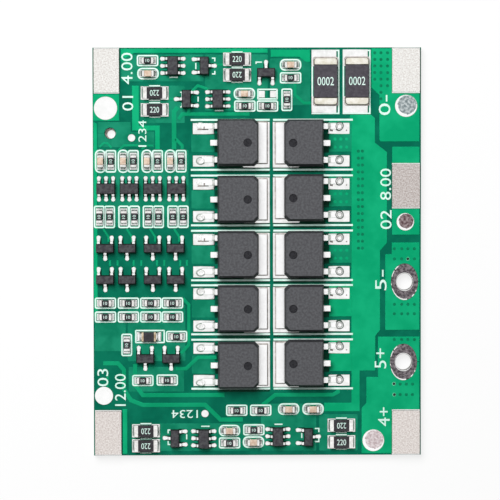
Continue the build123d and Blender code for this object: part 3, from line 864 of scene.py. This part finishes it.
def pin_drop(outline, middle, away):
    """The outline of solder drawn up on a pin, from its neck to its round head, and the head's place."""
    aside = Vector((-away.y, away.x))
    reaches = [(point - middle).dot(away) for point in outline]
    neck = middle + away * min(reaches)
    head = middle + away * (max(reaches) - HEAD_RADIUS)
    stop = away.angle_signed(Vector((1, 0))) + HEAD_ARC / 2
    turns = [stop - HEAD_ARC * (1 - i / 12) for i in range(13)]
    drop = [neck + aside * NECK_HALF, neck - aside * NECK_HALF]
    drop += [head + Vector((cos(turn), sin(turn))) * HEAD_RADIUS for turn in turns]
    return drop, head


def small_part_solder():
    """Drops on the pins of the small packages, flat pillows under the chip parts."""
    bm = bmesh.new()
    for outline in SMALL_LANDS:
        middle = middle_of(span(outline))
        from_lead = middle - middle_of(nearest(LEAD_BOXES, middle)).to_2d()
        from_end = middle - middle_of(nearest(END_BOXES, middle)).to_2d()
        if from_lead.length < from_end.length and from_lead.length < 1.2 * MM:
            drop, head = pin_drop(outline, middle, from_lead.normalized())
            first = len(bm.faces)
            solder_pillow(bm, drop, 0.07, head - mean(drop))
            surfaced(bm, first, 1)
        else:
            solder_pillow(bm, outline, 0.04)
    piece("small_part_solder", bm, [HOT_TIN, DRAWN_SOLDER], "tinned_copper", ["small_part_lands"])


# How far up the part's end the solder climbs, and how hollow its slope is
FILLET_CLIMB = 0.72
FILLET_HOLLOW = 2.2


def end_fillet(bm, end, outline):
    """The concave wedge of solder between a chip part's end and the rim of its land."""
    low, high = span(outline)
    toward = (low + high) / 2 - middle_of(end).to_2d()
    axis = 0 if abs(toward.x) > abs(toward.y) else 1
    across = 1 - axis
    side = 1 if toward[axis] > 0 else -1
    start = end[side > 0][axis] - side * 0.02 * MM
    stop = (low, high)[side > 0][axis] - side * 0.06 * MM
    near_half = (end[1][across] - end[0][across]) / 2 - 0.03 * MM
    far_half = (high[across] - low[across]) / 2 - 0.06 * MM
    climb = (end[1].z - LAND_TOP) * FILLET_CLIMB
    rings = []
    for step in range(5):
        share = step / 4
        half = near_half + (far_half - near_half) * share
        foot = LAND_TOP - 0.02 * MM
        rise = LAND_TOP + 0.02 * MM + climb * (1 - share) ** FILLET_HOLLOW
        shoulder = (rise + LAND_TOP) / 2
        ring = []
        for aside, height in (
            (-1, foot), (-0.8, shoulder), (-0.6, rise), (0.6, rise), (0.8, shoulder), (1, foot)
        ):
            point = Vector((0, 0, height))
            point[axis] = start + (stop - start) * share
            point[across] = middle_of(end)[across] + aside * half
            ring.append(point)
        rings.append(ring)
    skin(bm, rings, bottom=True)


def chip_end_solder():
    bm = bmesh.new()
    for end in END_BOXES:
        middle = middle_of(end).to_2d()
        end_fillet(bm, end, min(SMALL_LANDS, key=lambda land: (middle_of(span(land)) - middle).length))
    bmesh.ops.recalc_face_normals(bm, faces=bm.faces)
    piece("chip_end_solder", bm, [HOT_TIN], "tinned_copper")


SENSE_SOLDER_W = 3.42 * MM


def power_land_solder():
    """Solder under the power transistors and under the large resistors."""
    bm = bmesh.new()
    for outline in top_outlines("power_lands"):
        low, high = span(outline)
        # The large resistors' lands are the low, wide ones. Solder stops short of their right sides
        if high.y - low.y < 2.4 * MM and high.x - low.x > 3.7 * MM:
            outline = [Vector((min(point.x, low.x + SENSE_SOLDER_W), point.y)) for point in outline]
        solder_pillow(bm, outline, 0.06)
    piece("power_land_solder", bm, [HOT_TIN], "tinned_copper", ["power_lands"])


# The outer leads of the power transistors: which way they point, their box, whether each is an upper
# one, and whether its foot is barely covered, as on the three upper left ones
UPPER_LEAD_RISE = 2.3
OUTER_LEADS = []
for side, outward in (("left", -1), ("right", 1)):
    for box in solid_boxes(*named(f"power_metal_{side}_")):
        size = box[1] - box[0]
        if size.x > 1.5 * MM and size.y < 1.2 * MM:
            y = board_place(box)[1]
            upper = min(abs(y - row_y + UPPER_LEAD_RISE) for row_y in ROW_PLACES[side]) < 0.6
            OUTER_LEADS.append((outward, box, upper, upper and outward < 0 and y < ROW_PLACES[side][2]))

# Radius and height over the land, from the rim inwards
LOW_MOUND = ((0.78, -0.02), (0.73, 0.18), (0.66, 0.36), (0.56, 0.5), (0.46, 0.57), (0.37, 0.58), (0.3, 0.53),
             (0.22, 0.5), (0.05, 0.5))
THIN_MOUND = ((0.7, 0.0), (0.6, 0.07), (0.45, 0.12), (0.25, 0.15), (0.05, 0.16))
TALL_MOUND = ((0.66, -0.02), (0.62, 0.2), (0.58, 0.42), (0.52, 0.6), (0.45, 0.72), (0.41, 0.74), (0.37, 0.7),
              (0.31, 0.6), (0.26, 0.56), (0.05, 0.55))
# A mound's share of its width across the lead, and how far past the toe its middle lies
LEFT_FIT = (0.7, 0.1)
RIGHT_FIT = (1.0, -0.22)
LOWER_LEFT_SUNK = 0.17 * MM


def power_lead_solder():
    """A round mound at the toe of each outer lead, dished where the lead lies.

    The right ones are tall and close over the lead."""
    bm = bmesh.new()
    for outward, box, upper, bare in OUTER_LEADS:
        profile, (width, past_toe) = (THIN_MOUND if bare else LOW_MOUND), LEFT_FIT
        if outward > 0:
            profile, (width, past_toe) = TALL_MOUND, RIGHT_FIT
        sunk = LOWER_LEFT_SUNK if outward < 0 and not upper else 0
        centre = Vector((box[outward > 0].x + outward * past_toe * MM, middle_of(box).y - sunk))
        # No two mounds froze in the same shape, so each swells its own way
        turn = 2.4 * (box[0].x + box[0].y) / MM
        before = set(bm.verts)
        revolved(bm, centre, profile, LAND_TOP, 28)
        for vert in set(bm.verts) - before:
            off = vert.co.to_2d() - centre
            way = off.angle_signed(Vector((1, 0)), 0) if off.length else 0
            swell = 1 + 0.05 * sin(2 * way + turn) + 0.03 * sin(3 * way - turn)
            vert.co.x = centre.x + off.x * 0.98 * swell
            vert.co.y = centre.y + off.y * width * swell
    # The right rank's tall mounds take the darker painted shade
    for face in bm.faces:
        face.material_index = int(face.verts[0].co.x > 0)
    piece("power_lead_solder", bm, [LOW_MOUND_SOLDER, TALL_MOUND_SOLDER_SHADED], "tinned_copper")


def plate_solder():
    bm = bmesh.new()
    for outline in top_outlines("cell_plate_lands"):
        for point in outline:
            narrowed(point)
        solder_pillow(bm, outline, 0.03)
    piece("plate_solder", bm, [HOT_TIN], "tinned_copper", ["cell_plate_lands"])


ROUND_FINISHES = [LEVEL_SOLDER, FROSTED_TIN, RED_WRINKLED_TIN, PINK_WRINKLED_TIN]
ROUND_RINGS = (0.97, 0.92, 0.86, 0.8, 0.72, 0.62, 0.5, 0.35, 0.15)


def round_land_solder():
    """Two round lands are bright, the others froze wrinkled, with a painted highlight as a bright crescent at
    the lower left.
    """
    bm = bmesh.new()
    for outline in top_outlines("round_test_lands"):
        centre = mean(outline)
        reach = max((point - centre).length for point in outline)
        # The left ones are level. From the top down, the right ones are frosted, reddish and pinkish
        finish = 0 if centre.x < 0 else 3 if centre.y < 0 else 1 if centre.y > 15 * MM else 2
        first = len(bm.faces)
        rings = [at(outline, FACE), at(outline, LAND_TOP)]
        for share in ROUND_RINGS:
            ring = [centre + (point - centre) * share for point in outline]
            rings.append(at(ring, LAND_TOP + 0.1 * (1 - share ** 2) * MM))
        skin(bm, rings)
        bm.faces.ensure_lookup_table()
        for face in bm.faces[first:]:
            off = face.calc_center_median().to_2d() - centre - Vector((0.09, 0.09)) * reach
            # What lies outside the shifted circle is the crescent of painted highlight
            face.material_index = finish if off.length < 0.84 * reach else 0
    piece("round_land_solder", bm, ROUND_FINISHES, "tinned_copper", ["round_test_lands"])


RING_COUNT = 64
BORE_RADIUS = 1.12 * MM
# Where the pieces of the painted highlight's crescent start and stop, in degrees counterclockwise from the
# left
GLINTS = ((-66, -55), (-46, -24), (4, 16), (32, 98), (118, 126), (138, 146))
# Bands of an output hole's section that are bright, and those of its rim where the painted highlight lies
BRIGHT_BANDS = (0, 3, 4, 10, 11)
RIM_BANDS = (5, 6)


def plated_output_holes():
    """A tinned wall, and on both sides an oval land. Its solder froze wrinkled, and a thin bright
    crescent of painted highlight lies at the lower left."""
    bm = bmesh.new()
    for name in named("output_hole_"):
        low, high = (Vector(corner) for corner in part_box(name))
        centre = middle_of((low, high)).to_2d()
        half = (high - low) / 2
        rings = []
        for share, height in (
            (0.0, low.z + 0.04 * MM), (0.25, low.z), (0.8, low.z), (1.0, UNDERSIDE + BACK_COPPER_T),
            (1.0, FACE), (1.0, high.z - 0.04 * MM), (0.94, high.z - 0.01 * MM), (0.86, high.z),
            (0.6, high.z), (0.3, high.z), (0.1, high.z - 0.01 * MM), (0.0, high.z - 0.06 * MM),
            (0.0, low.z + 0.04 * MM),
        ):
            ring = []
            for way in ways_round(RING_COUNT):
                rim = Vector((way.x * half.x, way.y * half.y))
                ring.append(centre + way * BORE_RADIUS * (1 - share) + rim * share)
            rings.append(at(ring, height))
        first = len(bm.faces)
        skin(bm, rings, top=False)
        bm.faces.ensure_lookup_table()
        for number, face in enumerate(bm.faces[first:]):
            band = number // RING_COUNT
            out = face.calc_center_median().to_2d() - centre
            round_from_left = degrees(out.angle_signed(Vector((-1, 0)), 0))
            glint = band in RIM_BANDS and any(start < round_from_left < stop for start, stop in GLINTS)
            face.material_index = 0 if band in BRIGHT_BANDS or glint else 1
    bmesh.ops.remove_doubles(bm, verts=bm.verts, dist=0.0005 * MM)
    bmesh.ops.recalc_face_normals(bm, faces=bm.faces)
    piece("plated_output_holes", bm, [HOT_TIN, RING_WRINKLED_TIN], "tinned_copper", named("output_hole_"))


MARK_SPOTS = ((5.32, 12.33), (15.28, 50.25))
MARK_DIAMETER = 1.05


def placement_marks():
    bm = bmesh.new()
    for spot in MARK_SPOTS:
        solder_pillow(bm, circle(spot, MARK_DIAMETER), 0.05)
    piece("placement_marks", bm, [HOT_TIN], "tinned_copper")


# Flux, and painted shade in its colour

def flux_shade_lines():
    """Painted shade as a thin line in the colour of flux, where solder meets the tabs and the large
    resistors' ends.
    """
    bm = bmesh.new()
    tabs = [box for box in solid_boxes(*named("power_metal_")) if box[1].y - box[0].y > 3 * MM]
    for boxes, margin, corner, width in (
        (tabs, 0.3, 0.1, 0.16),
        (solid_boxes("sense_resistor_left_ends", "sense_resistor_right_ends"), 0.24, 0.3, 0.15),
    ):
        for box in boxes:
            size = (box[1] - box[0]) / MM
            outline = rectangle(board_place(box), (size.x + margin, size.y + margin), corner)
            frame_line(bm, outline, width, LAND_TOP, LAND_TOP + 0.09 * MM)
    piece("flux_shade_lines", bm, [FLUX_LINE_SHADE], "tinned_copper", smooth=False)


# Pools of flux beside a lead's toe: height, width and route, from the toe inwards and from its middle
# downwards. The streaks are painted shadow in the crease beside a foot that is barely covered.
SHADOW_STREAKS = (
    (0.12, 0.17, ((0.95, 0.43), (-0.55, 0.47))),
    (0.52, 0.17, ((0.38, 0.05), (0.36, 0.43))),
)
POOLS = (
    (0.12, 0.22, ((1.5, 0.52), (1.1, 0.6))),
    (0.12, 0.16, ((-0.7, 0.52), (-0.85, 0.56))),
)


def flux_pools_and_shadow_streaks():
    bm = bmesh.new()
    for outward, box, upper, bare in OUTER_LEADS:
        toe, y = (box[outward > 0].x - LEFT) / MM, board_place(box)[1]
        pools = SHADOW_STREAKS if bare else POOLS if upper and outward > 0 else ()
        for rise, width, route in pools:
            places = [(toe - outward * inward, y + down) for inward, down in route]
            upright(bm, track(places, width), LAND_TOP, LAND_TOP + rise * MM)
    piece("flux_pools_and_shadow_streaks", bm, [POOLED_FLUX_AND_SHADOW], "tinned_copper", smooth=False)


# Parts: most are the CAD's solids with eased edges

# From the tab's side of a power case to the middle of its dimple
DIMPLE_INSET = {"left": 1.5 * MM, "right": 1.2 * MM}
DIMPLE_FLOOR = ((0.56, -0.12), (0.56, -0.1), (0.5, -0.105), (0.2, -0.112))


def power_cases():
    dimples = []
    for name in named("power_case_"):
        low, high = (Vector(corner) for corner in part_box(name))
        x = high.x - DIMPLE_INSET["left"] if "left" in name else low.x + DIMPLE_INSET["right"]
        dimples.append(Vector((x, middle_of((low, high)).y, high.z)))
    eased("power_cases", named("power_case_"), 0.1, POWER_EPOXY, "moulded_epoxy", cuts=dimples, shape=drafted)
    bm = bmesh.new()
    for spot in dimples:
        revolved(bm, spot.to_2d(), DIMPLE_FLOOR, spot.z, 24)
    piece("polished_dimples", bm, [POLISHED_EPOXY], "moulded_epoxy")


def small_cases():
    for name, nodes in (
        ("controller_cases", CONTROLLER_CASES), ("small_transistor_cases", ["small_transistors"])
    ):
        eased(name, nodes, 0.05, SMALL_EPOXY, "moulded_epoxy", shape=shortened)


SMALL_PIN_T = 0.15 * MM


def formed_pins(name, leads, cases, flat_share, surface):
    """Stamped leads bent twice: flat beside the case, steep, then a foot that lies in the solder."""
    bm = bmesh.new()
    case_boxes = solid_boxes(*cases)
    for low, high in solid_boxes(*leads):
        size = high - low
        axis = 0 if size.x > size.y else 1
        across = 1 - axis
        middle = (low + high) / 2
        near = min(case_boxes, key=lambda box: (middle_of(box) - middle).length)
        side = 1 if middle[axis] > middle_of(near)[axis] else -1
        start = (low, high)[side < 0][axis]
        knee, ankle = flat_share * size[axis], (flat_share + 0.3) * size[axis]
        foot = low.z + SMALL_PIN_T
        upper = [(0, high.z), (knee - 0.02 * MM, high.z), (knee + 0.03 * MM, high.z - 0.04 * MM),
                 (ankle - 0.03 * MM, foot + 0.04 * MM), (ankle + 0.02 * MM, foot), (size[axis], foot)]
        lower = [(size[axis], low.z), (ankle - 0.05 * MM, low.z), (knee - 0.06 * MM, high.z - SMALL_PIN_T),
                 (0, high.z - SMALL_PIN_T)]
        sides = []
        for inset, aside in ((0.02, -0.88), (0, -0.7), (0, 0.7), (0.02, 0.88)):
            loop = []
            for outline, way in ((upper, -1), (lower, 1)):
                for reach, height in outline:
                    point = Vector((0, 0, height + way * inset * MM))
                    point[axis] = start + side * reach
                    point[across] = middle[across] + aside * size[across] / 2
                    loop.append(point)
            sides.append(loop)
        skin(bm, sides, bottom=True)
    bmesh.ops.recalc_face_normals(bm, faces=bm.faces)
    piece(name, bm, [surface], "tinned_leads", leads, smooth=False)


def leads_and_tabs():
    eased("power_tabs_and_leads", named("power_metal_"), 0.07, PLATED_LEADS, "tinned_leads", shape=slid_in)


def small_pins():
    formed_pins("controller_leads", ["chip_leads"], CONTROLLER_CASES, 0.3, PINS_WITH_SHADED_BENDS)
    formed_pins("small_transistor_pins", ["small_transistor_leads"], ["small_transistors"], 0.42,
                PLATED_LEADS)


def nickel_plates():
    for name, places, surface, shape in (
        ("upper_nickel_plates", ("top_left", "top_right"), PALE_NICKEL, narrowed),
        ("lower_nickel_plates", ("bottom_left", "bottom_right"), WARM_NICKEL, narrowed),
        ("middle_nickel_plate", ("right",), DARKEST_NICKEL, None),
    ):
        eased(name, ["cell_plate_" + place for place in places], 0.07, surface, "nickel", shape=shape)


def chip_parts():
    for name, nodes, radius, surface, slot, segments in (
        ("resistor_bodies", ["chip_resistors", "bleed_resistors", "indicator_chip"], 0.03, GLAZE,
         "resistor_glaze", 2),
        ("resistor_ends", ["chip_resistors_ends", "bleed_resistors_ends"], 0.05, PLATED_ENDS,
         "tinned_ends", 3),
        ("indicator_ends", ["indicator_chip_ends"], 0.05, TAN_ENDS, "tinned_ends", 3),
        ("capacitor_bodies", ["chip_capacitors"], 0.04, CERAMIC, "capacitor_ceramic", 2),
        ("capacitor_ends", ["chip_capacitors_ends"], 0.07, PLATED_ENDS, "tinned_ends", 3),
        ("sense_bodies", SENSE_RESISTORS, 0.06, SENSE_COAT, "resistor_glaze", 3),
    ):
        eased(name, nodes, radius, surface, slot, segments)


SENSE_CORNER = 0.42 * MM


def sense_ends():
    """The ends of the large resistors, rounded at their outer corners."""
    bm = bmesh.new()
    for name in SENSE_RESISTORS:
        body_middle = middle_of([Vector(corner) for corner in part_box(name)])
        for box in solid_boxes(name + "_ends"):
            middle, half = middle_of(box), (box[1] - box[0]) / 2
            side = 1 if middle.y > body_middle.y else -1
            outline = [Vector((middle.x + half.x, middle.y - side * half.y))]
            for quarter, way in ((0, 1), (1, -1)):
                for step in range(6):
                    angle = pi / 2 * (quarter + step / 5)
                    x = way * (half.x - SENSE_CORNER) + SENSE_CORNER * cos(angle)
                    y = half.y - SENSE_CORNER + SENSE_CORNER * sin(angle)
                    outline.append(Vector((middle.x + x, middle.y + side * y)))
            outline.append(Vector((middle.x - half.x, middle.y - side * half.y)))
            raised(bm, outline[::side], box[0].z, box[1].z, 0.13)
    piece("sense_ends", bm, [CREAM_ENDS], "tinned_ends", [name + "_ends" for name in SENSE_RESISTORS])


# White marking ink: lines, boxes and plain numbers

RANK_LINE_W = 0.26
RANK_LINE_YS = (9.89, 16.72, 17.51, 24.33, 25.08, 31.88, 32.57, 39.31, 40.06, 46.81)
RANK_LINE_SPANS = ((13.43, 24.25), (24.72, 35.64))
BOX_LINE_W = 0.2
DASH_W = 0.17
LARGE_CHIP_LINE_W = 0.18
BESIDE_LARGE_CHIPS = 0.98
# Middle, size and corner of the boxes round single parts
SINGLE_BOXES = (
    ((7.75, 39.6), (4.1, 1.85), 0.15),
    ((23.95, 6.38), (2.8, 1.5), 0.12),
    ((31.9, 4.72), (3.82, 8.8), 0),
    ((36.17, 4.72), (3.82, 8.8), 0),
)
# Short dashes beside the six-lead packages
DASHES = [
    [(10.55, 4.05), (11.65, 4.05)], [(16.75, 8.6), (17.9, 8.6)], [(14.75, 52.0), (15.9, 52.0)],
    [(14.75, 55.0), (15.9, 55.0)], [(24.85, 51.75), (25.95, 51.75)], [(24.85, 54.65), (25.95, 54.65)],
    [(14.15, 2.1), (14.15, 2.95)], [(14.45, 6.7), (14.45, 7.4)], [(12.75, 53.1), (12.75, 53.8)],
    [(28.6, 52.95), (28.6, 53.65)],
]
# Hooks at the single lead of the small transistors
HOOKS = [
    [(16.35, 1.45), (16.75, 1.45), (16.75, 1.9)], [(16.75, 3.2), (16.75, 3.6), (16.35, 3.6)],
    [(12.0, 6.1), (12.25, 6.1), (12.25, 6.9)], [(12.25, 7.6), (12.25, 8.1), (12.0, 8.1)],
    [(10.5, 52.5), (10.2, 52.5), (10.2, 52.95)], [(10.2, 54.0), (10.2, 54.5), (10.5, 54.5)],
    [(30.4, 52.35), (30.95, 52.35), (30.95, 52.85)], [(30.95, 53.7), (30.95, 54.15), (30.4, 54.15)],
    [(22.4, 2.25), (22.4, 2.0), (23.2, 2.0)],
]
# Plain numbers and signs: text, middle, length, height and turn in degrees
LABELS = (
    ("4.00", (4.72, 2.85), 4.3, 1.55, 90),
    ("01", (4.82, 7.6), 2.0, 1.5, 90),
    ("0-", (40.0, 7.9), 2.75, 1.6, 90),
    ("8.00", (40.15, 18.75), 4.3, 1.5, 90),
    ("02", (40.2, 23.6), 2.6, 1.55, 90),
    ("5-", (39.5, 31.9), 2.8, 1.55, 90),
    ("5+", (39.45, 42.7), 2.75, 1.6, 90),
    ("4+", (39.9, 50.75), 2.6, 1.6, 90),
    ("03", (1.25, 45.25), 2.4, 1.5, 90),
    ("12.00", (3.65, 46.95), 4.4, 1.5, 90),
    ("1234", (6.8, 11.75), 3.6, 1.1, 90),
    ("1234", (12.5, 50.3), 3.6, 1.1, 180),
)


def numerals(bm, text, centre, size_mm, turn, low, high):
    """Plain figures of a given length and height about a centre, turned by degrees."""
    curve = bpy.data.curves.new("figures", "FONT")
    curve.body = text
    curve.resolution_u = 3
    curve.extrude = 1.0
    holder = bpy.data.objects.new("figures", curve)
    mesh = bpy.data.meshes.new_from_object(holder)
    bpy.data.objects.remove(holder)
    lows = [min(vert.co[axis] for vert in mesh.vertices) for axis in range(3)]
    highs = [max(vert.co[axis] for vert in mesh.vertices) for axis in range(3)]
    scale = [size_mm[axis] * MM / (highs[axis] - lows[axis]) for axis in (0, 1)]
    scale += [(high - low) / (highs[2] - lows[2]), 1.0]
    centred = Matrix.Translation([-(lows[axis] + highs[axis]) / 2 for axis in range(3)])
    spot = Matrix.Translation((centre.x, centre.y, (low + high) / 2))
    mesh.transform(spot @ Matrix.Rotation(radians(turn), 4, "Z") @ Matrix.Diagonal(scale) @ centred)
    bm.from_mesh(mesh)
    bpy.data.meshes.remove(mesh)


def marking_ink():
    bm = bmesh.new()
    for y in RANK_LINE_YS:
        for start, stop in RANK_LINE_SPANS:
            upright(bm, track([(start, y), (stop, y)], RANK_LINE_W), FACE, INK_TOP)
    for boxes, length, width, upright_length, corner in (
        (RESISTOR_BOXES, 2.95, 1.55, 3.1, 0.28), (solid_boxes("chip_capacitors"), 2.95, 1.6, 3.2, 0.66)
    ):
        for box in boxes:
            size = (length, width) if lies_across(box) else (1.5, upright_length)
            frame_line(bm, rectangle(board_place(box), size, corner), BOX_LINE_W)
    for spot, size, corner in SINGLE_BOXES:
        frame_line(bm, rectangle(spot, size, corner), BOX_LINE_W)
    for box in solid_boxes("bleed_resistors"):
        x, y = board_place(box)
        for aside in (-BESIDE_LARGE_CHIPS, BESIDE_LARGE_CHIPS):
            line = track([(x - 0.75, y + aside), (x + 0.75, y + aside)], LARGE_CHIP_LINE_W)
            upright(bm, line, FACE, INK_TOP)
    for route in DASHES + HOOKS:
        upright(bm, track(route, DASH_W), FACE, INK_TOP)
    for text, spot, length, height, turn in LABELS:
        numerals(bm, text, spot_on_board(*spot), (length, height), turn, FACE, INK_TOP)
    piece("marking_ink", bm, [INK], "green_mask", smooth=False)


FIGURE_T = 0.01 * MM


def value_figures():
    """Plain numbers on the resistors."""
    places = []
    for number, box in enumerate(solid_boxes("bleed_resistors")):
        places.append(("220", box, (1.25, 0.8), 180 if number % 3 else 0))
    for name in SENSE_RESISTORS:
        places.append(("0002", [Vector(corner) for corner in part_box(name)], (2.25, 1.15), 0))
    for box in RESISTOR_BOXES:
        places.append(("10", box, (0.5, 0.42), 0 if lies_across(box) else 90))
    bm = bmesh.new()
    for text, box, size, turn in places:
        numerals(bm, text, middle_of(box), size, turn, box[1].z - FIGURE_T, box[1].z + FIGURE_T)
    piece("value_figures", bm, [INK], "resistor_glaze", smooth=False)


# Underside: fields of masked copper, parted by etched channels

BACK_FIELDS = [
    [(4.2, 0.6), (25.5, 0.6), (25.5, 10.2), (12.5, 10.2), (12.5, 45.0), (0.6, 45.0), (0.6, 14.2),
     (4.2, 14.2)],
    [(0.6, 0.6), (3.4, 0.6), (3.4, 9.6), (0.6, 9.6)],
    [(26.3, 0.6), (44.4, 0.6), (44.4, 25.5), (39.6, 27.0), (39.6, 38.6), (26.3, 38.6)],
    [(13.3, 11.0), (25.5, 11.0), (25.5, 46.2), (13.3, 46.2)],
    [(40.4, 27.5), (44.4, 26.4), (44.4, 29.2), (40.4, 29.2)],
    [(40.4, 34.85), (44.4, 34.85), (44.4, 38.4), (40.4, 38.4)],
    [(40.4, 39.3), (44.4, 39.3), (44.4, 40.5), (40.4, 40.5)],
    [(26.3, 39.4), (39.6, 39.4), (39.6, 45.85), (44.4, 45.85), (44.4, 55.4), (26.3, 55.4)],
    [(0.6, 45.8), (12.5, 45.8), (12.5, 47.0), (25.5, 47.0), (25.5, 55.4), (0.6, 55.4)],
]


def back_copper():
    bm = bmesh.new()
    for points in BACK_FIELDS:
        hanging(bm, outline_of(points), UNDERSIDE + 0.004 * MM, UNDERSIDE + BACK_COPPER_T, 0.08)
    piece("masked_back_copper", bm, [MASK_OVER_COPPER], "green_mask_on_copper", smooth=False)


BACK_HOLE_D = 0.44


def back_holes():
    for name, spots, surface in (
        ("filled_holes_below", HOLE_SPOTS + HOLES_BY_LEADS, MASK_IN_HOLES),
        ("open_holes_below", OPEN_HOLES, DARK_HOLE),
    ):
        bm = bmesh.new()
        for spot in spots:
            hanging(bm, circle(spot, BACK_HOLE_D, 10), UNDERSIDE + 0.001 * MM, UNDERSIDE + 0.02 * MM, 0.05)
        piece(name, bm, [surface], "green_mask")


for make in (
    bare_laminate, locating_hole_wall, masked_copper, far_copper_showing, painted_shade_strips, small_holes,
    small_part_solder, chip_end_solder, power_land_solder, power_lead_solder, plate_solder,
    round_land_solder, plated_output_holes, placement_marks, flux_shade_lines, flux_pools_and_shadow_streaks,
    power_cases, leads_and_tabs, small_cases, small_pins, nickel_plates, chip_parts, sense_ends,
    marking_ink, value_figures, back_copper, back_holes,
):
    make()


# Camera: almost straight above the board, a little towards its top edge

camera_data = bpy.data.cameras.new("camera")
camera_data.lens = 156.76
camera_data.sensor_width = 36
camera = bpy.data.objects.new("camera", camera_data)
camera.location = (-3.52 * MM, 10.37 * MM, 300 * MM)
camera.rotation_euler = [radians(angle) for angle in (-1.936, -0.490, -0.110)]
bpy.context.scene.collection.objects.link(camera)
bpy.context.scene.camera = camera


# Studio: a white sweep, a broad lamp overhead towards the top edge and even light all round

AIR_LIGHT = 0.07
SWEEP_GLOW = 0.8
SWEEP_REACH = 600 * MM
SWEEP_GAP = 0.05 * MM
LAMP_PLACE = Vector((-105, 175, 330)) * MM
LAMP_SIZE = 260 * MM
LAMP_POWER = 2.1


def seen_directly(tree):
    """1 for rays from the camera, from a glossy surface or through a clear one, else 0."""
    path = node(tree, "ShaderNodeLightPath")
    either = node(tree, "ShaderNodeMath", {"operation": "MAXIMUM"},
                  {0: path.outputs["Is Camera Ray"], 1: path.outputs["Is Glossy Ray"]})
    return node(tree, "ShaderNodeMath", {"operation": "MAXIMUM"},
                {0: either.outputs[0], 1: path.outputs["Is Transmission Ray"]}).outputs[0]


def studio_air():
    """Even white all round, full for the camera and for reflections, faint as a light."""
    world = bpy.data.worlds.new("studio_air")
    bpy.context.scene.world = world
    world.use_nodes = True
    tree = world.node_tree
    strength = node(tree, "ShaderNodeMapRange", {3: AIR_LIGHT, 4: 1.0}, {0: seen_directly(tree)})
    tree.nodes["Background"].inputs["Color"].default_value = (1, 1, 1, 1)
    tree.links.new(strength.outputs[0], tree.nodes["Background"].inputs["Strength"])


def white_paper():
    """White paper that glows a little to the camera, so that only the shadow shows on it."""
    made = bpy.data.materials.new("white_paper")
    made.use_nodes = True
    tree = made.node_tree
    shader = tree.nodes["Principled BSDF"]
    shader.inputs["Base Color"].default_value = linear("F4F4F4")
    shader.inputs["Roughness"].default_value = 0.9
    glow = node(tree, "ShaderNodeEmission", {0: (1, 1, 1, 1), 1: 1.0})
    share = node(tree, "ShaderNodeMath", {"operation": "MULTIPLY", 1: SWEEP_GLOW}, {0: seen_directly(tree)})
    both = node(tree, "ShaderNodeMixShader", (),
                {0: share.outputs[0], 1: shader.outputs[0], 2: glow.outputs[0]})
    tree.links.new(both.outputs[0], tree.nodes["Material Output"].inputs["Surface"])
    return made


def white_sweep():
    bm = bmesh.new()
    bmesh.ops.create_grid(bm, x_segments=1, y_segments=1, size=SWEEP_REACH)
    mesh = bpy.data.meshes.new("white_sweep")
    bm.to_mesh(mesh)
    bm.free()
    mesh.materials.append(white_paper())
    sweep = bpy.data.objects.new("white_sweep", mesh)
    sweep.location.z = UNDERSIDE - SWEEP_GAP
    bpy.context.scene.collection.objects.link(sweep)


def key_softbox():
    light = bpy.data.lights.new("key_softbox", "AREA")
    light.size = LAMP_SIZE
    light.energy = LAMP_POWER
    lamp = bpy.data.objects.new("key_softbox", light)
    lamp.visible_glossy = False
    lamp.location = LAMP_PLACE
    lamp.rotation_euler = (-LAMP_PLACE).to_track_quat("-Z", "Y").to_euler()
    bpy.context.scene.collection.objects.link(lamp)


studio_air()
white_sweep()
key_softbox()
bpy.context.scene.view_settings.view_transform = "Standard"
